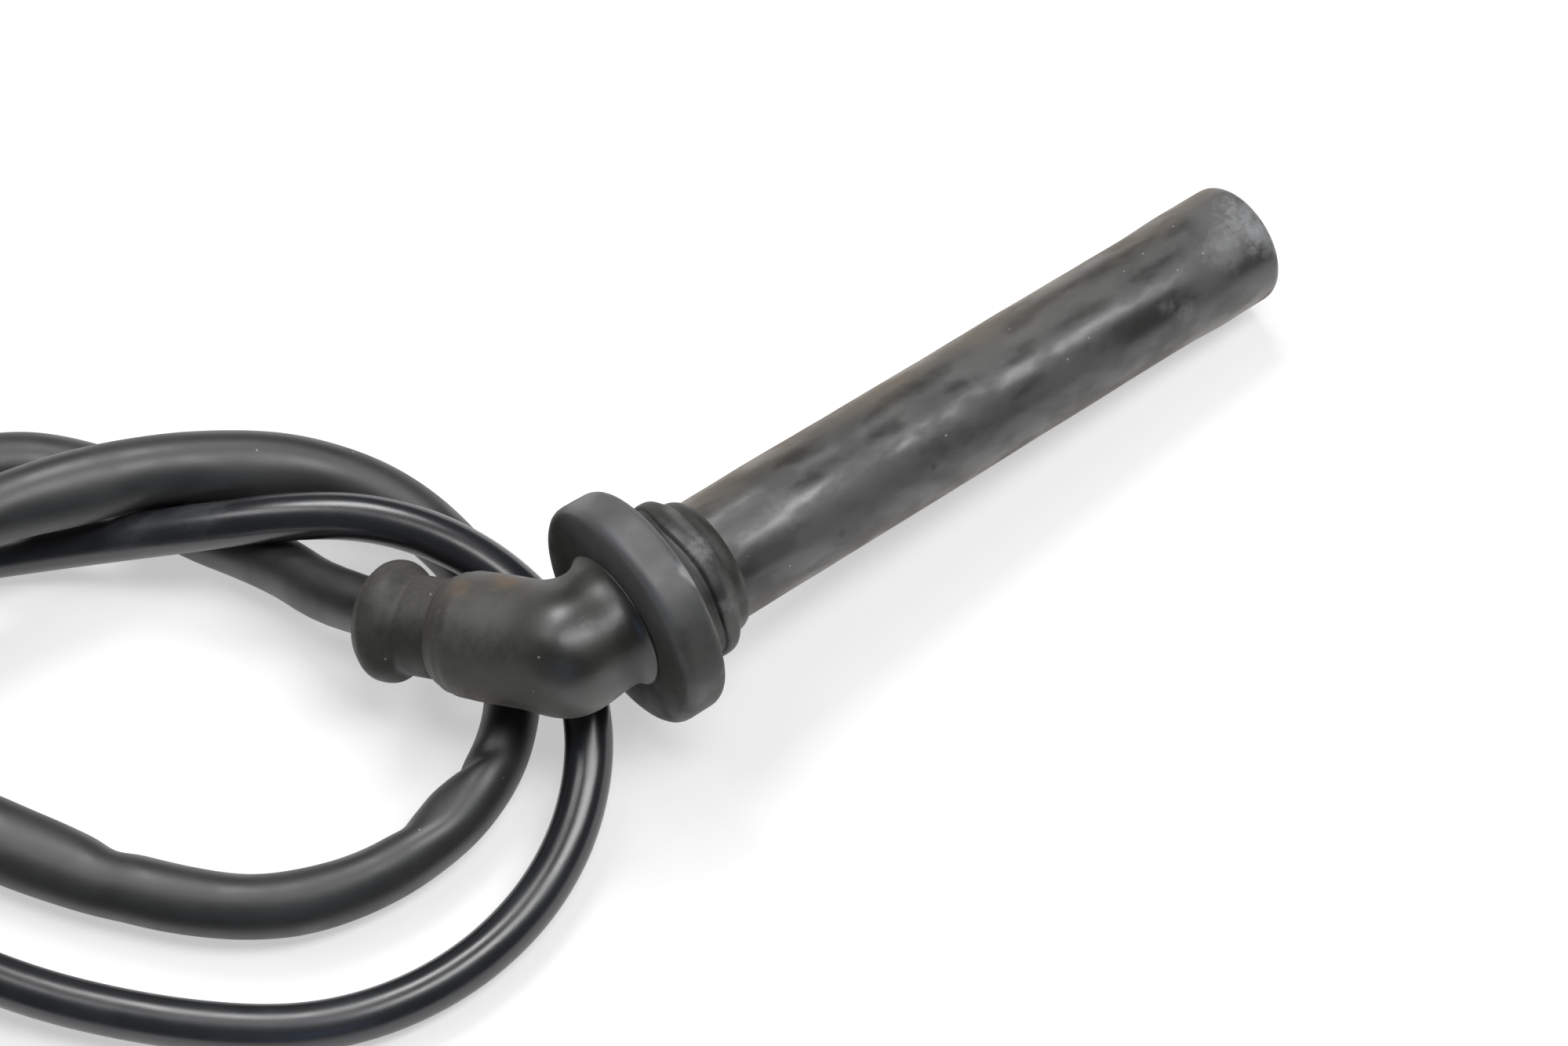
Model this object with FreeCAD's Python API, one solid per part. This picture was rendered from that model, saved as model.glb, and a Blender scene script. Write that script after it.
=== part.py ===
"""Long-reach spark plug cap with its ignition lead, as it lies on a bench.

Millimetres, +Z up. The row's origin is the centre of the plug boot's open mouth. +X is the level
direction of the stem towards that mouth. The cap is drawn in its own frame, with the stem along X,
the well seal's elbow-side face at X = 0 and the wire arm in the XY plane, then leaned and lifted
onto the bench. The lead leaves the arm, turns twice on the bench and ends in a boot.
"""
import FreeCAD, Part
import math
import os

Vector = FreeCAD.Vector
Rotation = FreeCAD.Rotation
Placement = FreeCAD.Placement

# Stem of the cap, from the well seal to the open mouth
STEM_RADIUS = 9.5
STEM_LENGTH = 120.0
STEM_END_RADIUS = 9.75
STEM_FLARE_START = 104.0
STEM_FLARE_LENGTH = 9.0
STEM_MOUTH_ROUND = 1.2
STEM_COLLAR_RADIUS = 10.1
STEM_COLLAR_LENGTH = 1.5
PLUG_BORE_RADIUS = 5.25
PLUG_BORE_DEPTH = 22.0

# Inner insulating tube and what it holds
CORE_RADIUS = 6.9
CORE_BORE_RADIUS = 4.5
CORE_FIT = 0.1
CORE_END_GAP = 0.3
CONTACT_FIT = 0.05
SOCKET_LENGTH = 12.0
SOCKET_BORE_RADIUS = 3.2
SOCKET_BORE_DEPTH = 8.5
SOCKET_GROOVE_WIDTH = 1.3
SOCKET_GROOVE_DEPTH = 0.75
SOCKET_GROOVE_INSET = 4.0
CLIP_WIRE = 0.7
CLIP_OPENING = 60.0
SCREW_LENGTH = 4.0
SCREW_SLOT_WIDTH = 1.0
SCREW_SLOT_DEPTH = 1.2
RESISTOR_RADIUS = 2.6
RESISTOR_LENGTH = 18.0
RESISTOR_CAP_WALL = 0.5
RESISTOR_CAP_DEPTH = 2.5
SPRING_RADIUS = 2.6
SPRING_WIRE = 0.7
SPRING_TURNS = 4
SPRING_SIDES = 10
SPRING_LENGTH = 12.0
CONTACT_HEAD_RADIUS = 3.6
CONTACT_HEAD_LENGTH = 1.6
CONTACT_ROD_DIAMETER = 3.0
CONTACT_ROD_SIDES = 8
SCREW_POINT_RADIUS = 1.0
SCREW_POINT_LENGTH = 6.0

# Elbow and wire arm; distances along the arm count from where the two axes meet
BEND_ANGLE = 60.0
BEND_RADIUS = 11.0
BEND_DISTANCE = 8.5
ARM_ROLL = 22.5
ELBOW_RADIUS = 9.2
ARM_SHOULDER = 18.9
ARM_SHOULDER_RADIUS = 7.5
ARM_SHOULDER_LENGTH = 2.6
ELBOW_CORE_END = 15.2
LEAD_START = 8.6

# Rubber seals
WELL_DISC_RADIUS = 17.4
WELL_DISC_THICKNESS = 6.8
WELL_DISC_ROUND = 1.7
WELL_HUB_RADIUS = 11.2
WELL_LIP_RADIUS = 12.3
WELL_LIP_START = 11.4
WELL_LIP_END = 16.6
WELL_BEAD_RADIUS = 10.4
WELL_SEAL_LENGTH = 18.0
WELL_SEAL_FIT = 0.05
WIRE_SEAL_SPIGOT_RADIUS = 6.0
WIRE_SEAL_SPIGOT_LENGTH = 3.0
WIRE_SEAL_FIT = 0.15
WIRE_SEAL_SEAT_GAP = 0.05
WIRE_SEAL_NECK_RADIUS = 7.3
WIRE_SEAL_BEAD_START = 24.6
WIRE_SEAL_BEAD_RADIUS = 8.9
WIRE_SEAL_END = 30.5
WIRE_SEAL_TAPER = 1.9
WIRE_SEAL_FLARE = 0.5
WIRE_SEAL_MOUTH_RADIUS = 6.6
WIRE_SEAL_BORE_FIT = 0.08

# Lead and its loose sleeve
LEAD_DIAMETER = 7.0
LEAD_SIDES = 8
LEAD_HOLE_FIT = 0.06
CONDUCTOR_DIAMETER = 2.0
CONDUCTOR_SHOWN = 10.0
SLEEVE_DIAMETER = 9.4
SLEEVE_WALL = 0.7
SLEEVE_SIDES = 8
SLEEVE_BORE_SIDES = 6
SLEEVE_START = 17.4

# Boot and terminal on the coil end; distances count from the boot's neck end
BOOT_LENGTH = 34.0
BOOT_RADIUS = 7.8
BOOT_MOUTH_RADIUS = 8.4
BOOT_MOUTH_BEAD = 3.0
BOOT_NECK_RADIUS = 5.6
BOOT_NECK_LENGTH = 9.0
BOOT_CAVITY_RADIUS = 6.0
BOOT_CAVITY_DEPTH = 19.0
BOOT_LEAD_LENGTH = 20.0
TERMINAL_WALL = 0.5
TERMINAL_CRIMP_LENGTH = 4.5
TERMINAL_TUBE_RADIUS = 3.0
TERMINAL_TUBE_LENGTH = 11.0
TERMINAL_BORE_RADIUS = 2.1

# How the cap leans on the bench
STEM_LEAN = 6.3

# The lead's turns, seen from above in a frame turned from the row's X axis
COIL_HEADING = -37.74
COIL_CENTRE = (-62.0, -8.0)
COIL_HALF_LENGTH = 48.0
COIL_HALF_WIDTH = 37.0
COIL_QUARTERS = 8
SLEEVED_ARCS = 9
# How far each quarter of the loose turns stands out from the even oval, how far along it, how high
# above the bench, and its lean and climb in degrees; the first is the far side of the first turn,
# and the last is where the lead leaves the turns, further along the far side
LOOSE_OUT = (5.2, 11.5, -9.7, -1.8, 1.4, 4.5, 8.7, 8.6, -9.4, -9.2)
LOOSE_ALONG = (29.0, -12.5, 8.7, 4.9, -4.6, 2.2, 9.3, -3.6, -14.5, 33.6)
LIFT = (7.6, 11.1, 5.0, 5.05, 13.3, 17.2, 3.9, 7.0, 16.9, 4.3)
LEAN = (1.0, 4.0, -5.0, -0.6, 6.0, -2.0, -5.0, 0.0, 4.6, 9.7)
CLIMB = (14.0, -12.0, 0.0, -1.5, 13.0, -6.0, 1.5, 11.5, -6.0, -3.0)
# The stretch from the arm to the turns: points in the row's directions, measured on the bench from
# below the well seal's face
RUN_ARM_REACH = 36.0
RUN_POINTS = ((-30.8, 46.0, 6.8), (-35.7, 61.4, 5.0), (-38.9, 70.3, 5.0))
RUN_LAST_STRAIGHT = 9.0
# The stretch from the turns to the boot, in the frame of the turns
TAIL_FIRST_STRAIGHT = 11.0
TAIL_POINTS = ((-121.0, 16.2, 3.8), (-141.0, 9.0, 3.8), (-160.0, -5.5, 8.7), (-184.0, -28.5, 8.7))

NODES = {}


def corner_arc(before, corner, after, radius):
    """The start, middle and end of the arc that rounds one corner of a flat outline."""
    into = (before - corner).normalize()
    out = (after - corner).normalize()
    half = into.getAngle(out) / 2
    reach = radius / math.tan(half)
    centre = corner + (into + out).normalize() * (radius / math.sin(half))
    middle = centre + (corner - centre).normalize() * radius
    return corner + into * reach, middle, corner + out * reach


def corner_reach(diameter, sides):
    """How far the corners of a flat-sided tube stand from its axis, for a round tube's volume."""
    step = 2 * math.pi / sides
    return diameter / 2 * math.sqrt(step / math.sin(step))


LEAD_HOLE_RADIUS = corner_reach(LEAD_DIAMETER, LEAD_SIDES) + LEAD_HOLE_FIT


def turned(outline, sweep=360.0):
    """A solid turned about X from the (x, radius) points of its outline."""
    points = [Vector(x, radius, 0) for x, radius in outline]
    return Part.Face(Part.makePolygon(points + points[:1])).revolve(Vector(), Vector(1, 0, 0), sweep)


def rod(start, end, radius):
    return Part.makeCylinder(radius, end - start, Vector(start, 0, 0), Vector(1, 0, 0))


BEND = math.radians(BEND_ANGLE)
BEND_POINT = Vector(-BEND_DISTANCE, 0, 0)
ARM_DIRECTION = Vector(-math.cos(BEND), math.sin(BEND), 0)
ARM_FRAME = Placement(BEND_POINT, Rotation(Vector(0, 0, 1), 180 - BEND_ANGLE))


def on_arm(shape):
    """A shape drawn along X, moved so that X runs out along the wire arm from the bend."""
    shape.Placement = ARM_FRAME
    return shape


def mitred_rod(stem_end, arm_end, radius):
    """A round bar along the stem axis and the arm, mitred where they meet."""
    start = Vector(stem_end, 0, 0)
    path = Part.makePolygon([start, BEND_POINT, BEND_POINT + ARM_DIRECTION * arm_end])
    section = Part.Wire(Part.makeCircle(radius, start, Vector(1, 0, 0)))
    return path.makePipeShell([section], True, False, 1)


def bent_rod(stem_end, arm_end, diameter):
    """A thin bar of flat sides, bent from the stem axis to the arm."""
    start = Vector(stem_end, 0, 0)
    end = BEND_POINT + ARM_DIRECTION * arm_end
    bend_start, middle, bend_end = corner_arc(start, BEND_POINT, end, BEND_RADIUS)
    edges = [
        Part.LineSegment(start, bend_start).toShape(),
        Part.Arc(bend_start, middle, bend_end).toShape(),
        Part.LineSegment(bend_end, end).toShape(),
    ]
    return faceted_tube(edges, diameter, CONTACT_ROD_SIDES)[0]


def make_stem():
    mouth = STEM_LENGTH
    bore_end = mouth - PLUG_BORE_DEPTH
    core_bore = CORE_RADIUS + CORE_FIT
    return turned([
        (-STEM_COLLAR_LENGTH, core_bore),
        (-STEM_COLLAR_LENGTH, STEM_COLLAR_RADIUS),
        (-WELL_SEAL_FIT, STEM_COLLAR_RADIUS),
        (-WELL_SEAL_FIT, STEM_RADIUS),
        (STEM_FLARE_START, STEM_RADIUS),
        (STEM_FLARE_START + STEM_FLARE_LENGTH, STEM_END_RADIUS),
        (mouth - STEM_MOUTH_ROUND, STEM_END_RADIUS),
        (mouth, STEM_END_RADIUS - STEM_MOUTH_ROUND),
        (mouth, PLUG_BORE_RADIUS),
        (bore_end, PLUG_BORE_RADIUS),
        (bore_end, core_bore),
    ])


CORE_END = STEM_LENGTH - PLUG_BORE_DEPTH - CORE_END_GAP
CORE_START = 2.0
CORE_WALL_END = CORE_START + 4.0
CONTACT_HOLE_RADIUS = corner_reach(CONTACT_ROD_DIAMETER, CONTACT_ROD_SIDES) + CONTACT_FIT


def make_core_tube():
    return turned([
        (CORE_START, CONTACT_HOLE_RADIUS),
        (CORE_START, CORE_RADIUS),
        (CORE_END, CORE_RADIUS),
        (CORE_END, CORE_BORE_RADIUS),
        (CORE_WALL_END, CORE_BORE_RADIUS),
        (CORE_WALL_END, CONTACT_HOLE_RADIUS),
    ])


SOCKET_END = CORE_END - CORE_END_GAP
SOCKET_START = SOCKET_END - SOCKET_LENGTH
SOCKET_RADIUS = CORE_BORE_RADIUS - CORE_FIT
GROOVE_CENTRE = SOCKET_END - SOCKET_GROOVE_INSET


def make_plug_socket():
    floor = SOCKET_END - SOCKET_BORE_DEPTH
    groove = SOCKET_BORE_RADIUS + SOCKET_GROOVE_DEPTH
    return turned([
        (SOCKET_START, 0),
        (SOCKET_START, SOCKET_RADIUS),
        (SOCKET_END, SOCKET_RADIUS),
        (SOCKET_END, SOCKET_BORE_RADIUS),
        (GROOVE_CENTRE + SOCKET_GROOVE_WIDTH / 2, SOCKET_BORE_RADIUS),
        (GROOVE_CENTRE + SOCKET_GROOVE_WIDTH / 2, groove),
        (GROOVE_CENTRE - SOCKET_GROOVE_WIDTH / 2, groove),
        (GROOVE_CENTRE - SOCKET_GROOVE_WIDTH / 2, SOCKET_BORE_RADIUS),
        (floor, SOCKET_BORE_RADIUS),
        (floor, 0),
    ])


def make_socket_clip():
    half = CLIP_WIRE / 2
    ring = SOCKET_BORE_RADIUS + half + 0.02
    start = GROOVE_CENTRE - half
    end = GROOVE_CENTRE + half
    section = [(start, ring - half), (start, ring + half), (end, ring + half), (end, ring - half)]
    return turned(section, 360 - CLIP_OPENING)


RETAINER_START = SOCKET_START - SCREW_LENGTH


def make_retainer_screw():
    body = rod(RETAINER_START, SOCKET_START, SOCKET_RADIUS)
    width = 2 * SOCKET_RADIUS + 2
    slot = Part.makeBox(SCREW_SLOT_DEPTH + 1, width, SCREW_SLOT_WIDTH)
    slot.translate(Vector(SOCKET_START - SCREW_SLOT_DEPTH, -width / 2, -SCREW_SLOT_WIDTH / 2))
    return body.cut(slot)


RESISTOR_CAP_END = RETAINER_START - 0.05
RESISTOR_END = RESISTOR_CAP_END - RESISTOR_CAP_WALL
RESISTOR_START = RESISTOR_END - RESISTOR_LENGTH
RESISTOR_CAP_START = RESISTOR_START - RESISTOR_CAP_WALL
RESISTOR_CAP_RADIUS = RESISTOR_RADIUS + RESISTOR_CAP_WALL


def make_resistor_cap(outer_face, inner_face, depth):
    """A cup whose floor lies between the two faces; depth is signed towards the resistor."""
    cup = rod(min(outer_face, inner_face + depth), max(outer_face, inner_face + depth), RESISTOR_CAP_RADIUS)
    inside = rod(min(inner_face, inner_face + depth), max(inner_face, inner_face + depth), RESISTOR_RADIUS)
    return cup.cut(inside)


SPRING_END = RESISTOR_CAP_START - 0.1
SPRING_START = SPRING_END - SPRING_LENGTH


def make_contact_spring():
    """Square-section wire in even turns of short straight runs."""
    mean = SPRING_RADIUS - SPRING_WIRE / 2
    rise = (SPRING_LENGTH - SPRING_WIRE) / SPRING_TURNS
    start = SPRING_START + SPRING_WIRE / 2

    def at(turn):
        angle = 2 * math.pi * turn
        return Vector(start + rise * turn, mean * math.cos(angle), mean * math.sin(angle))

    path = Part.makePolygon([at(i / SPRING_SIDES) for i in range(SPRING_SIDES * SPRING_TURNS + 1)])
    half = SPRING_WIRE / 2
    corners = [Vector(start + a * half, mean + b * half, 0) for a, b in ((-1, -1), (1, -1), (1, 1), (-1, 1))]
    section = Part.makePolygon(corners + corners[:1])
    return path.makePipeShell([section], True, False, 1)


CONTACT_HEAD_END = SPRING_START - 0.05


def make_contact_rod():
    head = rod(CONTACT_HEAD_END - CONTACT_HEAD_LENGTH, CONTACT_HEAD_END, CONTACT_HEAD_RADIUS)
    shaft_end = LEAD_START - 0.2
    shaft = bent_rod(CONTACT_HEAD_END - CONTACT_HEAD_LENGTH, shaft_end, CONTACT_ROD_DIAMETER)
    point = on_arm(rod(shaft_end, shaft_end + SCREW_POINT_LENGTH, SCREW_POINT_RADIUS))
    return head.fuse([shaft, point])


def make_elbow_core():
    body = mitred_rod(CORE_START - CORE_END_GAP, ELBOW_CORE_END, CORE_RADIUS)
    passage = bent_rod(CORE_START, LEAD_START, CONTACT_ROD_DIAMETER + 2 * CONTACT_FIT)
    socket = on_arm(rod(LEAD_START - 0.1, ELBOW_CORE_END + 1, LEAD_HOLE_RADIUS))
    return body.cut([passage, socket])


def make_elbow_cover():
    """The rubber elbow, with a ball-shaped outer corner and a bevelled shoulder on its arm."""
    stub = rod(BEND_POINT.x, -STEM_COLLAR_LENGTH, ELBOW_RADIUS)
    corner = Part.makeSphere(ELBOW_RADIUS, BEND_POINT)
    shoulder_start = ARM_SHOULDER - ARM_SHOULDER_LENGTH
    arm = on_arm(turned([
        (0, 0),
        (0, ELBOW_RADIUS),
        (shoulder_start, ELBOW_RADIUS),
        (ARM_SHOULDER, ARM_SHOULDER_RADIUS),
        (ARM_SHOULDER, 0),
    ]))
    inner = mitred_rod(CORE_START, ELBOW_CORE_END + 0.2, CORE_RADIUS + CORE_FIT)
    mouth = on_arm(rod(ELBOW_CORE_END, ARM_SHOULDER + 1, WIRE_SEAL_SPIGOT_RADIUS + WIRE_SEAL_FIT))
    return stub.fuse([corner, arm]).cut([inner, mouth])


def make_well_seal():
    return turned([
        (0, STEM_RADIUS + WELL_SEAL_FIT),
        (0, WELL_DISC_RADIUS - WELL_DISC_ROUND),
        (WELL_DISC_ROUND, WELL_DISC_RADIUS),
        (WELL_DISC_THICKNESS, WELL_DISC_RADIUS),
        (WELL_DISC_THICKNESS, WELL_HUB_RADIUS),
        (WELL_LIP_START, WELL_HUB_RADIUS),
        (WELL_LIP_START, WELL_LIP_RADIUS),
        (WELL_LIP_END, WELL_BEAD_RADIUS),
        (WELL_SEAL_LENGTH, WELL_BEAD_RADIUS),
        (WELL_SEAL_LENGTH, STEM_RADIUS + WELL_SEAL_FIT),
    ])


def make_wire_seal():
    bore = corner_reach(SLEEVE_DIAMETER, SLEEVE_SIDES) + WIRE_SEAL_BORE_FIT
    return on_arm(turned([
        (ARM_SHOULDER - WIRE_SEAL_SPIGOT_LENGTH, bore),
        (ARM_SHOULDER - WIRE_SEAL_SPIGOT_LENGTH, WIRE_SEAL_SPIGOT_RADIUS),
        (ARM_SHOULDER + WIRE_SEAL_SEAT_GAP, WIRE_SEAL_SPIGOT_RADIUS),
        (ARM_SHOULDER + WIRE_SEAL_SEAT_GAP, WIRE_SEAL_NECK_RADIUS),
        (WIRE_SEAL_BEAD_START, WIRE_SEAL_NECK_RADIUS),
        (WIRE_SEAL_BEAD_START, WIRE_SEAL_BEAD_RADIUS),
        (WIRE_SEAL_END - WIRE_SEAL_TAPER, WIRE_SEAL_BEAD_RADIUS),
        (WIRE_SEAL_END, WIRE_SEAL_MOUTH_RADIUS),
        (WIRE_SEAL_END, bore + WIRE_SEAL_FLARE),
        (WIRE_SEAL_BEAD_START, bore),
    ]))


# Route of the lead

LEAN_TURN = Rotation(Vector(0, 1, 0), STEM_LEAN)
ROLL_TURN = Rotation(Vector(1, 0, 0), -ARM_ROLL)
LEAN_ANGLE = math.radians(STEM_LEAN)
SEAL_HEIGHT = STEM_LENGTH * math.sin(LEAN_ANGLE) + STEM_END_RADIUS * math.cos(LEAN_ANGLE)
CAP_FRAME = Placement(Vector(0, 0, SEAL_HEIGHT), LEAN_TURN.multiply(ROLL_TURN))
MOUTH_ON_BENCH = CAP_FRAME.multVec(Vector(STEM_LENGTH, 0, 0))


def to_row(shape):
    """From the bench, under the well seal's face, to the row's origin at the plug boot's mouth."""
    shape = shape.copy()
    shape.translate(MOUTH_ON_BENCH * -1)
    return shape


def cap_to_row(shape):
    shape = shape.copy()
    shape.Placement = CAP_FRAME.multiply(shape.Placement)
    return to_row(shape)


def arm_point(distance):
    return CAP_FRAME.multVec(BEND_POINT + ARM_DIRECTION * distance)


COIL_TURN = Rotation(Vector(0, 0, 1), COIL_HEADING)


def quarter(index):
    """Place and direction of the lead at one quarter of its turns, on the bench."""
    side = min(index, COIL_QUARTERS)
    angle = math.radians(90 + 90 * side)
    outward = Vector(math.cos(angle), math.sin(angle), 0)
    onward = Vector(-math.sin(angle), math.cos(angle), 0)
    half = COIL_HALF_LENGTH if side % 2 else COIL_HALF_WIDTH
    place = Vector(COIL_CENTRE[0], COIL_CENTRE[1], LIFT[index])
    place += outward * (half + LOOSE_OUT[index]) + onward * LOOSE_ALONG[index]
    heading = angle + math.radians(90 + LEAN[index])
    climb = math.tan(math.radians(CLIMB[index]))
    direction = Vector(math.cos(heading), math.sin(heading), climb).normalize()
    return COIL_TURN.multVec(place), COIL_TURN.multVec(direction)


def arc_from(start, direction, end):
    """The arc that leaves start in one direction and meets end, and its radius."""
    chord = end - start
    along = Vector(chord).normalize()
    angle = direction.getAngle(along)
    side = (direction - along * math.cos(angle)).normalize()
    radius = chord.Length / (2 * math.sin(angle))
    middle = start + chord / 2 + side * (radius * (1 - math.cos(angle)))
    return Part.Arc(start, middle, end).toShape(), radius


def biarc(start, start_direction, end, end_direction):
    """Two arcs that meet smoothly, from one place and direction to another."""
    gap = end - start
    both = start_direction + end_direction
    a = 2 * (start_direction.dot(end_direction) - 1)
    b = -2 * gap.dot(both)
    c = gap.dot(gap)
    reach = (-b - math.sqrt(b * b - 4 * a * c)) / (2 * a)
    meeting = (start + start_direction * reach + end - end_direction * reach) / 2
    first, first_radius = arc_from(start, start_direction, meeting)
    turned_back, second_radius = arc_from(end, end_direction * -1, meeting)
    middle = turned_back.valueAt((turned_back.FirstParameter + turned_back.LastParameter) / 2)
    second = Part.Arc(meeting, middle, end).toShape()
    return [first, second], [first_radius, second_radius]


def turns():
    edges = []
    radii = []
    for index in range(COIL_QUARTERS + 1):
        place, direction = quarter(index)
        next_place, next_direction = quarter(index + 1)
        arcs, arc_radii = biarc(place, direction, next_place, next_direction)
        edges += arcs
        radii += arc_radii
    return edges, radii


def rounded_run(points):
    """Straight runs joined by tangent arcs, each as large as its two runs allow."""
    edges = []
    radii = []
    last = points[0]
    for before, corner, after in zip(points, points[1:], points[2:]):
        into = before - corner
        out = after - corner
        reach = 0.45 * min(into.Length, out.Length)
        half_turn = (math.pi - into.getAngle(out)) / 2
        radius = reach / math.tan(half_turn)
        start, middle, end = corner_arc(before, corner, after, radius)
        edges.append(Part.LineSegment(last, start).toShape())
        edges.append(Part.Arc(start, middle, end).toShape())
        radii.append(radius)
        last = end
    edges.append(Part.LineSegment(last, points[-1]).toShape())
    return edges, radii


def run_points(start):
    """The lead's points from inside the arm to the first quarter of the turns."""
    place, direction = quarter(0)
    points = [arm_point(start), arm_point(RUN_ARM_REACH)]
    points += [Vector(*p) for p in RUN_POINTS]
    return points + [place - direction * RUN_LAST_STRAIGHT, place]


def tail_points():
    place, direction = quarter(COIL_QUARTERS + 1)
    points = [place, place + direction * TAIL_FIRST_STRAIGHT]
    return points + [COIL_TURN.multVec(Vector(*p)) for p in TAIL_POINTS]


def faceted_tube(edges, diameter, sides):
    """A tube of flat sides along a path; the section has the round tube's area."""
    path = Part.Wire(edges)
    start = edges[0].valueAt(edges[0].FirstParameter)
    direction = edges[0].tangentAt(edges[0].FirstParameter)
    if (start - edges[0].Vertexes[0].Point).Length > 0.001:
        direction = direction * -1
    step = 2 * math.pi / sides
    reach = corner_reach(diameter, sides)
    facing = Placement(start, Rotation(Vector(0, 0, 1), direction))
    corners = []
    for i in range(sides):
        angle = step * (i + 0.5)
        corners.append(facing.multVec(Vector(reach * math.cos(angle), reach * math.sin(angle), 0)))
    section = Part.makePolygon(corners + corners[:1])
    solid = path.makePipeShell([section], True, False)
    area = math.pi * diameter ** 2 / 4
    return solid, solid.Volume / (area * path.Length), path.Length


def sleeve_tube(edges):
    outer, ratio, length = faceted_tube(edges, SLEEVE_DIAMETER, SLEEVE_SIDES)
    bore = faceted_tube(edges, SLEEVE_DIAMETER - 2 * SLEEVE_WALL, SLEEVE_BORE_SIDES)[0]
    return outer.cut(bore), ratio, length


def least_gap(edges, diameters, spacing=1.5, apart=30):
    """The least gap between turns of one tube, on points; diameters holds one value for each edge."""
    points = []
    for edge, diameter in zip(edges, diameters):
        count = max(2, int(edge.Length / spacing))
        points += [(p, diameter / 2) for p in edge.discretize(count)[:-1]]
    least = 1000.0
    for i, (p, p_radius) in enumerate(points):
        for q, q_radius in points[i + apart:]:
            least = min(least, (p - q).Length - p_radius - q_radius)
    return least


def make_boot_parts():
    """The boot, its terminal and the conductor's end, drawn along X from the boot's neck end."""
    cavity = BOOT_LENGTH - BOOT_CAVITY_DEPTH
    boot = turned([
        (0, LEAD_HOLE_RADIUS),
        (0, BOOT_NECK_RADIUS),
        (BOOT_NECK_LENGTH, BOOT_NECK_RADIUS),
        (BOOT_NECK_LENGTH, BOOT_RADIUS),
        (BOOT_LENGTH - BOOT_MOUTH_BEAD, BOOT_RADIUS),
        (BOOT_LENGTH - BOOT_MOUTH_BEAD, BOOT_MOUTH_RADIUS),
        (BOOT_LENGTH, BOOT_MOUTH_RADIUS),
        (BOOT_LENGTH, BOOT_CAVITY_RADIUS),
        (cavity, BOOT_CAVITY_RADIUS),
        (cavity, LEAD_HOLE_RADIUS),
    ])
    barrel = LEAD_HOLE_RADIUS
    crimp = BOOT_LEAD_LENGTH - TERMINAL_CRIMP_LENGTH
    tip = BOOT_LEAD_LENGTH + 1 + TERMINAL_TUBE_LENGTH
    terminal = turned([
        (crimp, barrel),
        (crimp, barrel + TERMINAL_WALL),
        (BOOT_LEAD_LENGTH + 1, barrel + TERMINAL_WALL),
        (BOOT_LEAD_LENGTH + 1, TERMINAL_TUBE_RADIUS),
        (tip, TERMINAL_TUBE_RADIUS),
        (tip, TERMINAL_BORE_RADIUS),
        (BOOT_LEAD_LENGTH + 1.4, TERMINAL_BORE_RADIUS),
        (BOOT_LEAD_LENGTH + 1.4, 0),
        (BOOT_LEAD_LENGTH + 0.2, 0),
        (BOOT_LEAD_LENGTH + 0.2, barrel),
    ])
    return boot, terminal


def make_cap():
    NODES["stem_boot"] = cap_to_row(make_stem())
    NODES["core_tube"] = cap_to_row(make_core_tube())
    NODES["plug_socket"] = cap_to_row(make_plug_socket())
    NODES["socket_clip"] = cap_to_row(make_socket_clip())
    NODES["retainer_screw"] = cap_to_row(make_retainer_screw())
    NODES["resistor_body"] = cap_to_row(rod(RESISTOR_START, RESISTOR_END, RESISTOR_RADIUS))
    NODES["resistor_cap_front"] = cap_to_row(
        make_resistor_cap(RESISTOR_CAP_END, RESISTOR_END, -RESISTOR_CAP_DEPTH))
    NODES["resistor_cap_rear"] = cap_to_row(
        make_resistor_cap(RESISTOR_CAP_START, RESISTOR_START, RESISTOR_CAP_DEPTH))
    NODES["contact_spring"] = cap_to_row(make_contact_spring())
    NODES["contact_rod"] = cap_to_row(make_contact_rod())
    NODES["elbow_core"] = cap_to_row(make_elbow_core())
    NODES["elbow_cover"] = cap_to_row(make_elbow_cover())
    NODES["well_seal"] = cap_to_row(make_well_seal())
    NODES["wire_seal"] = cap_to_row(make_wire_seal())


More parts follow.
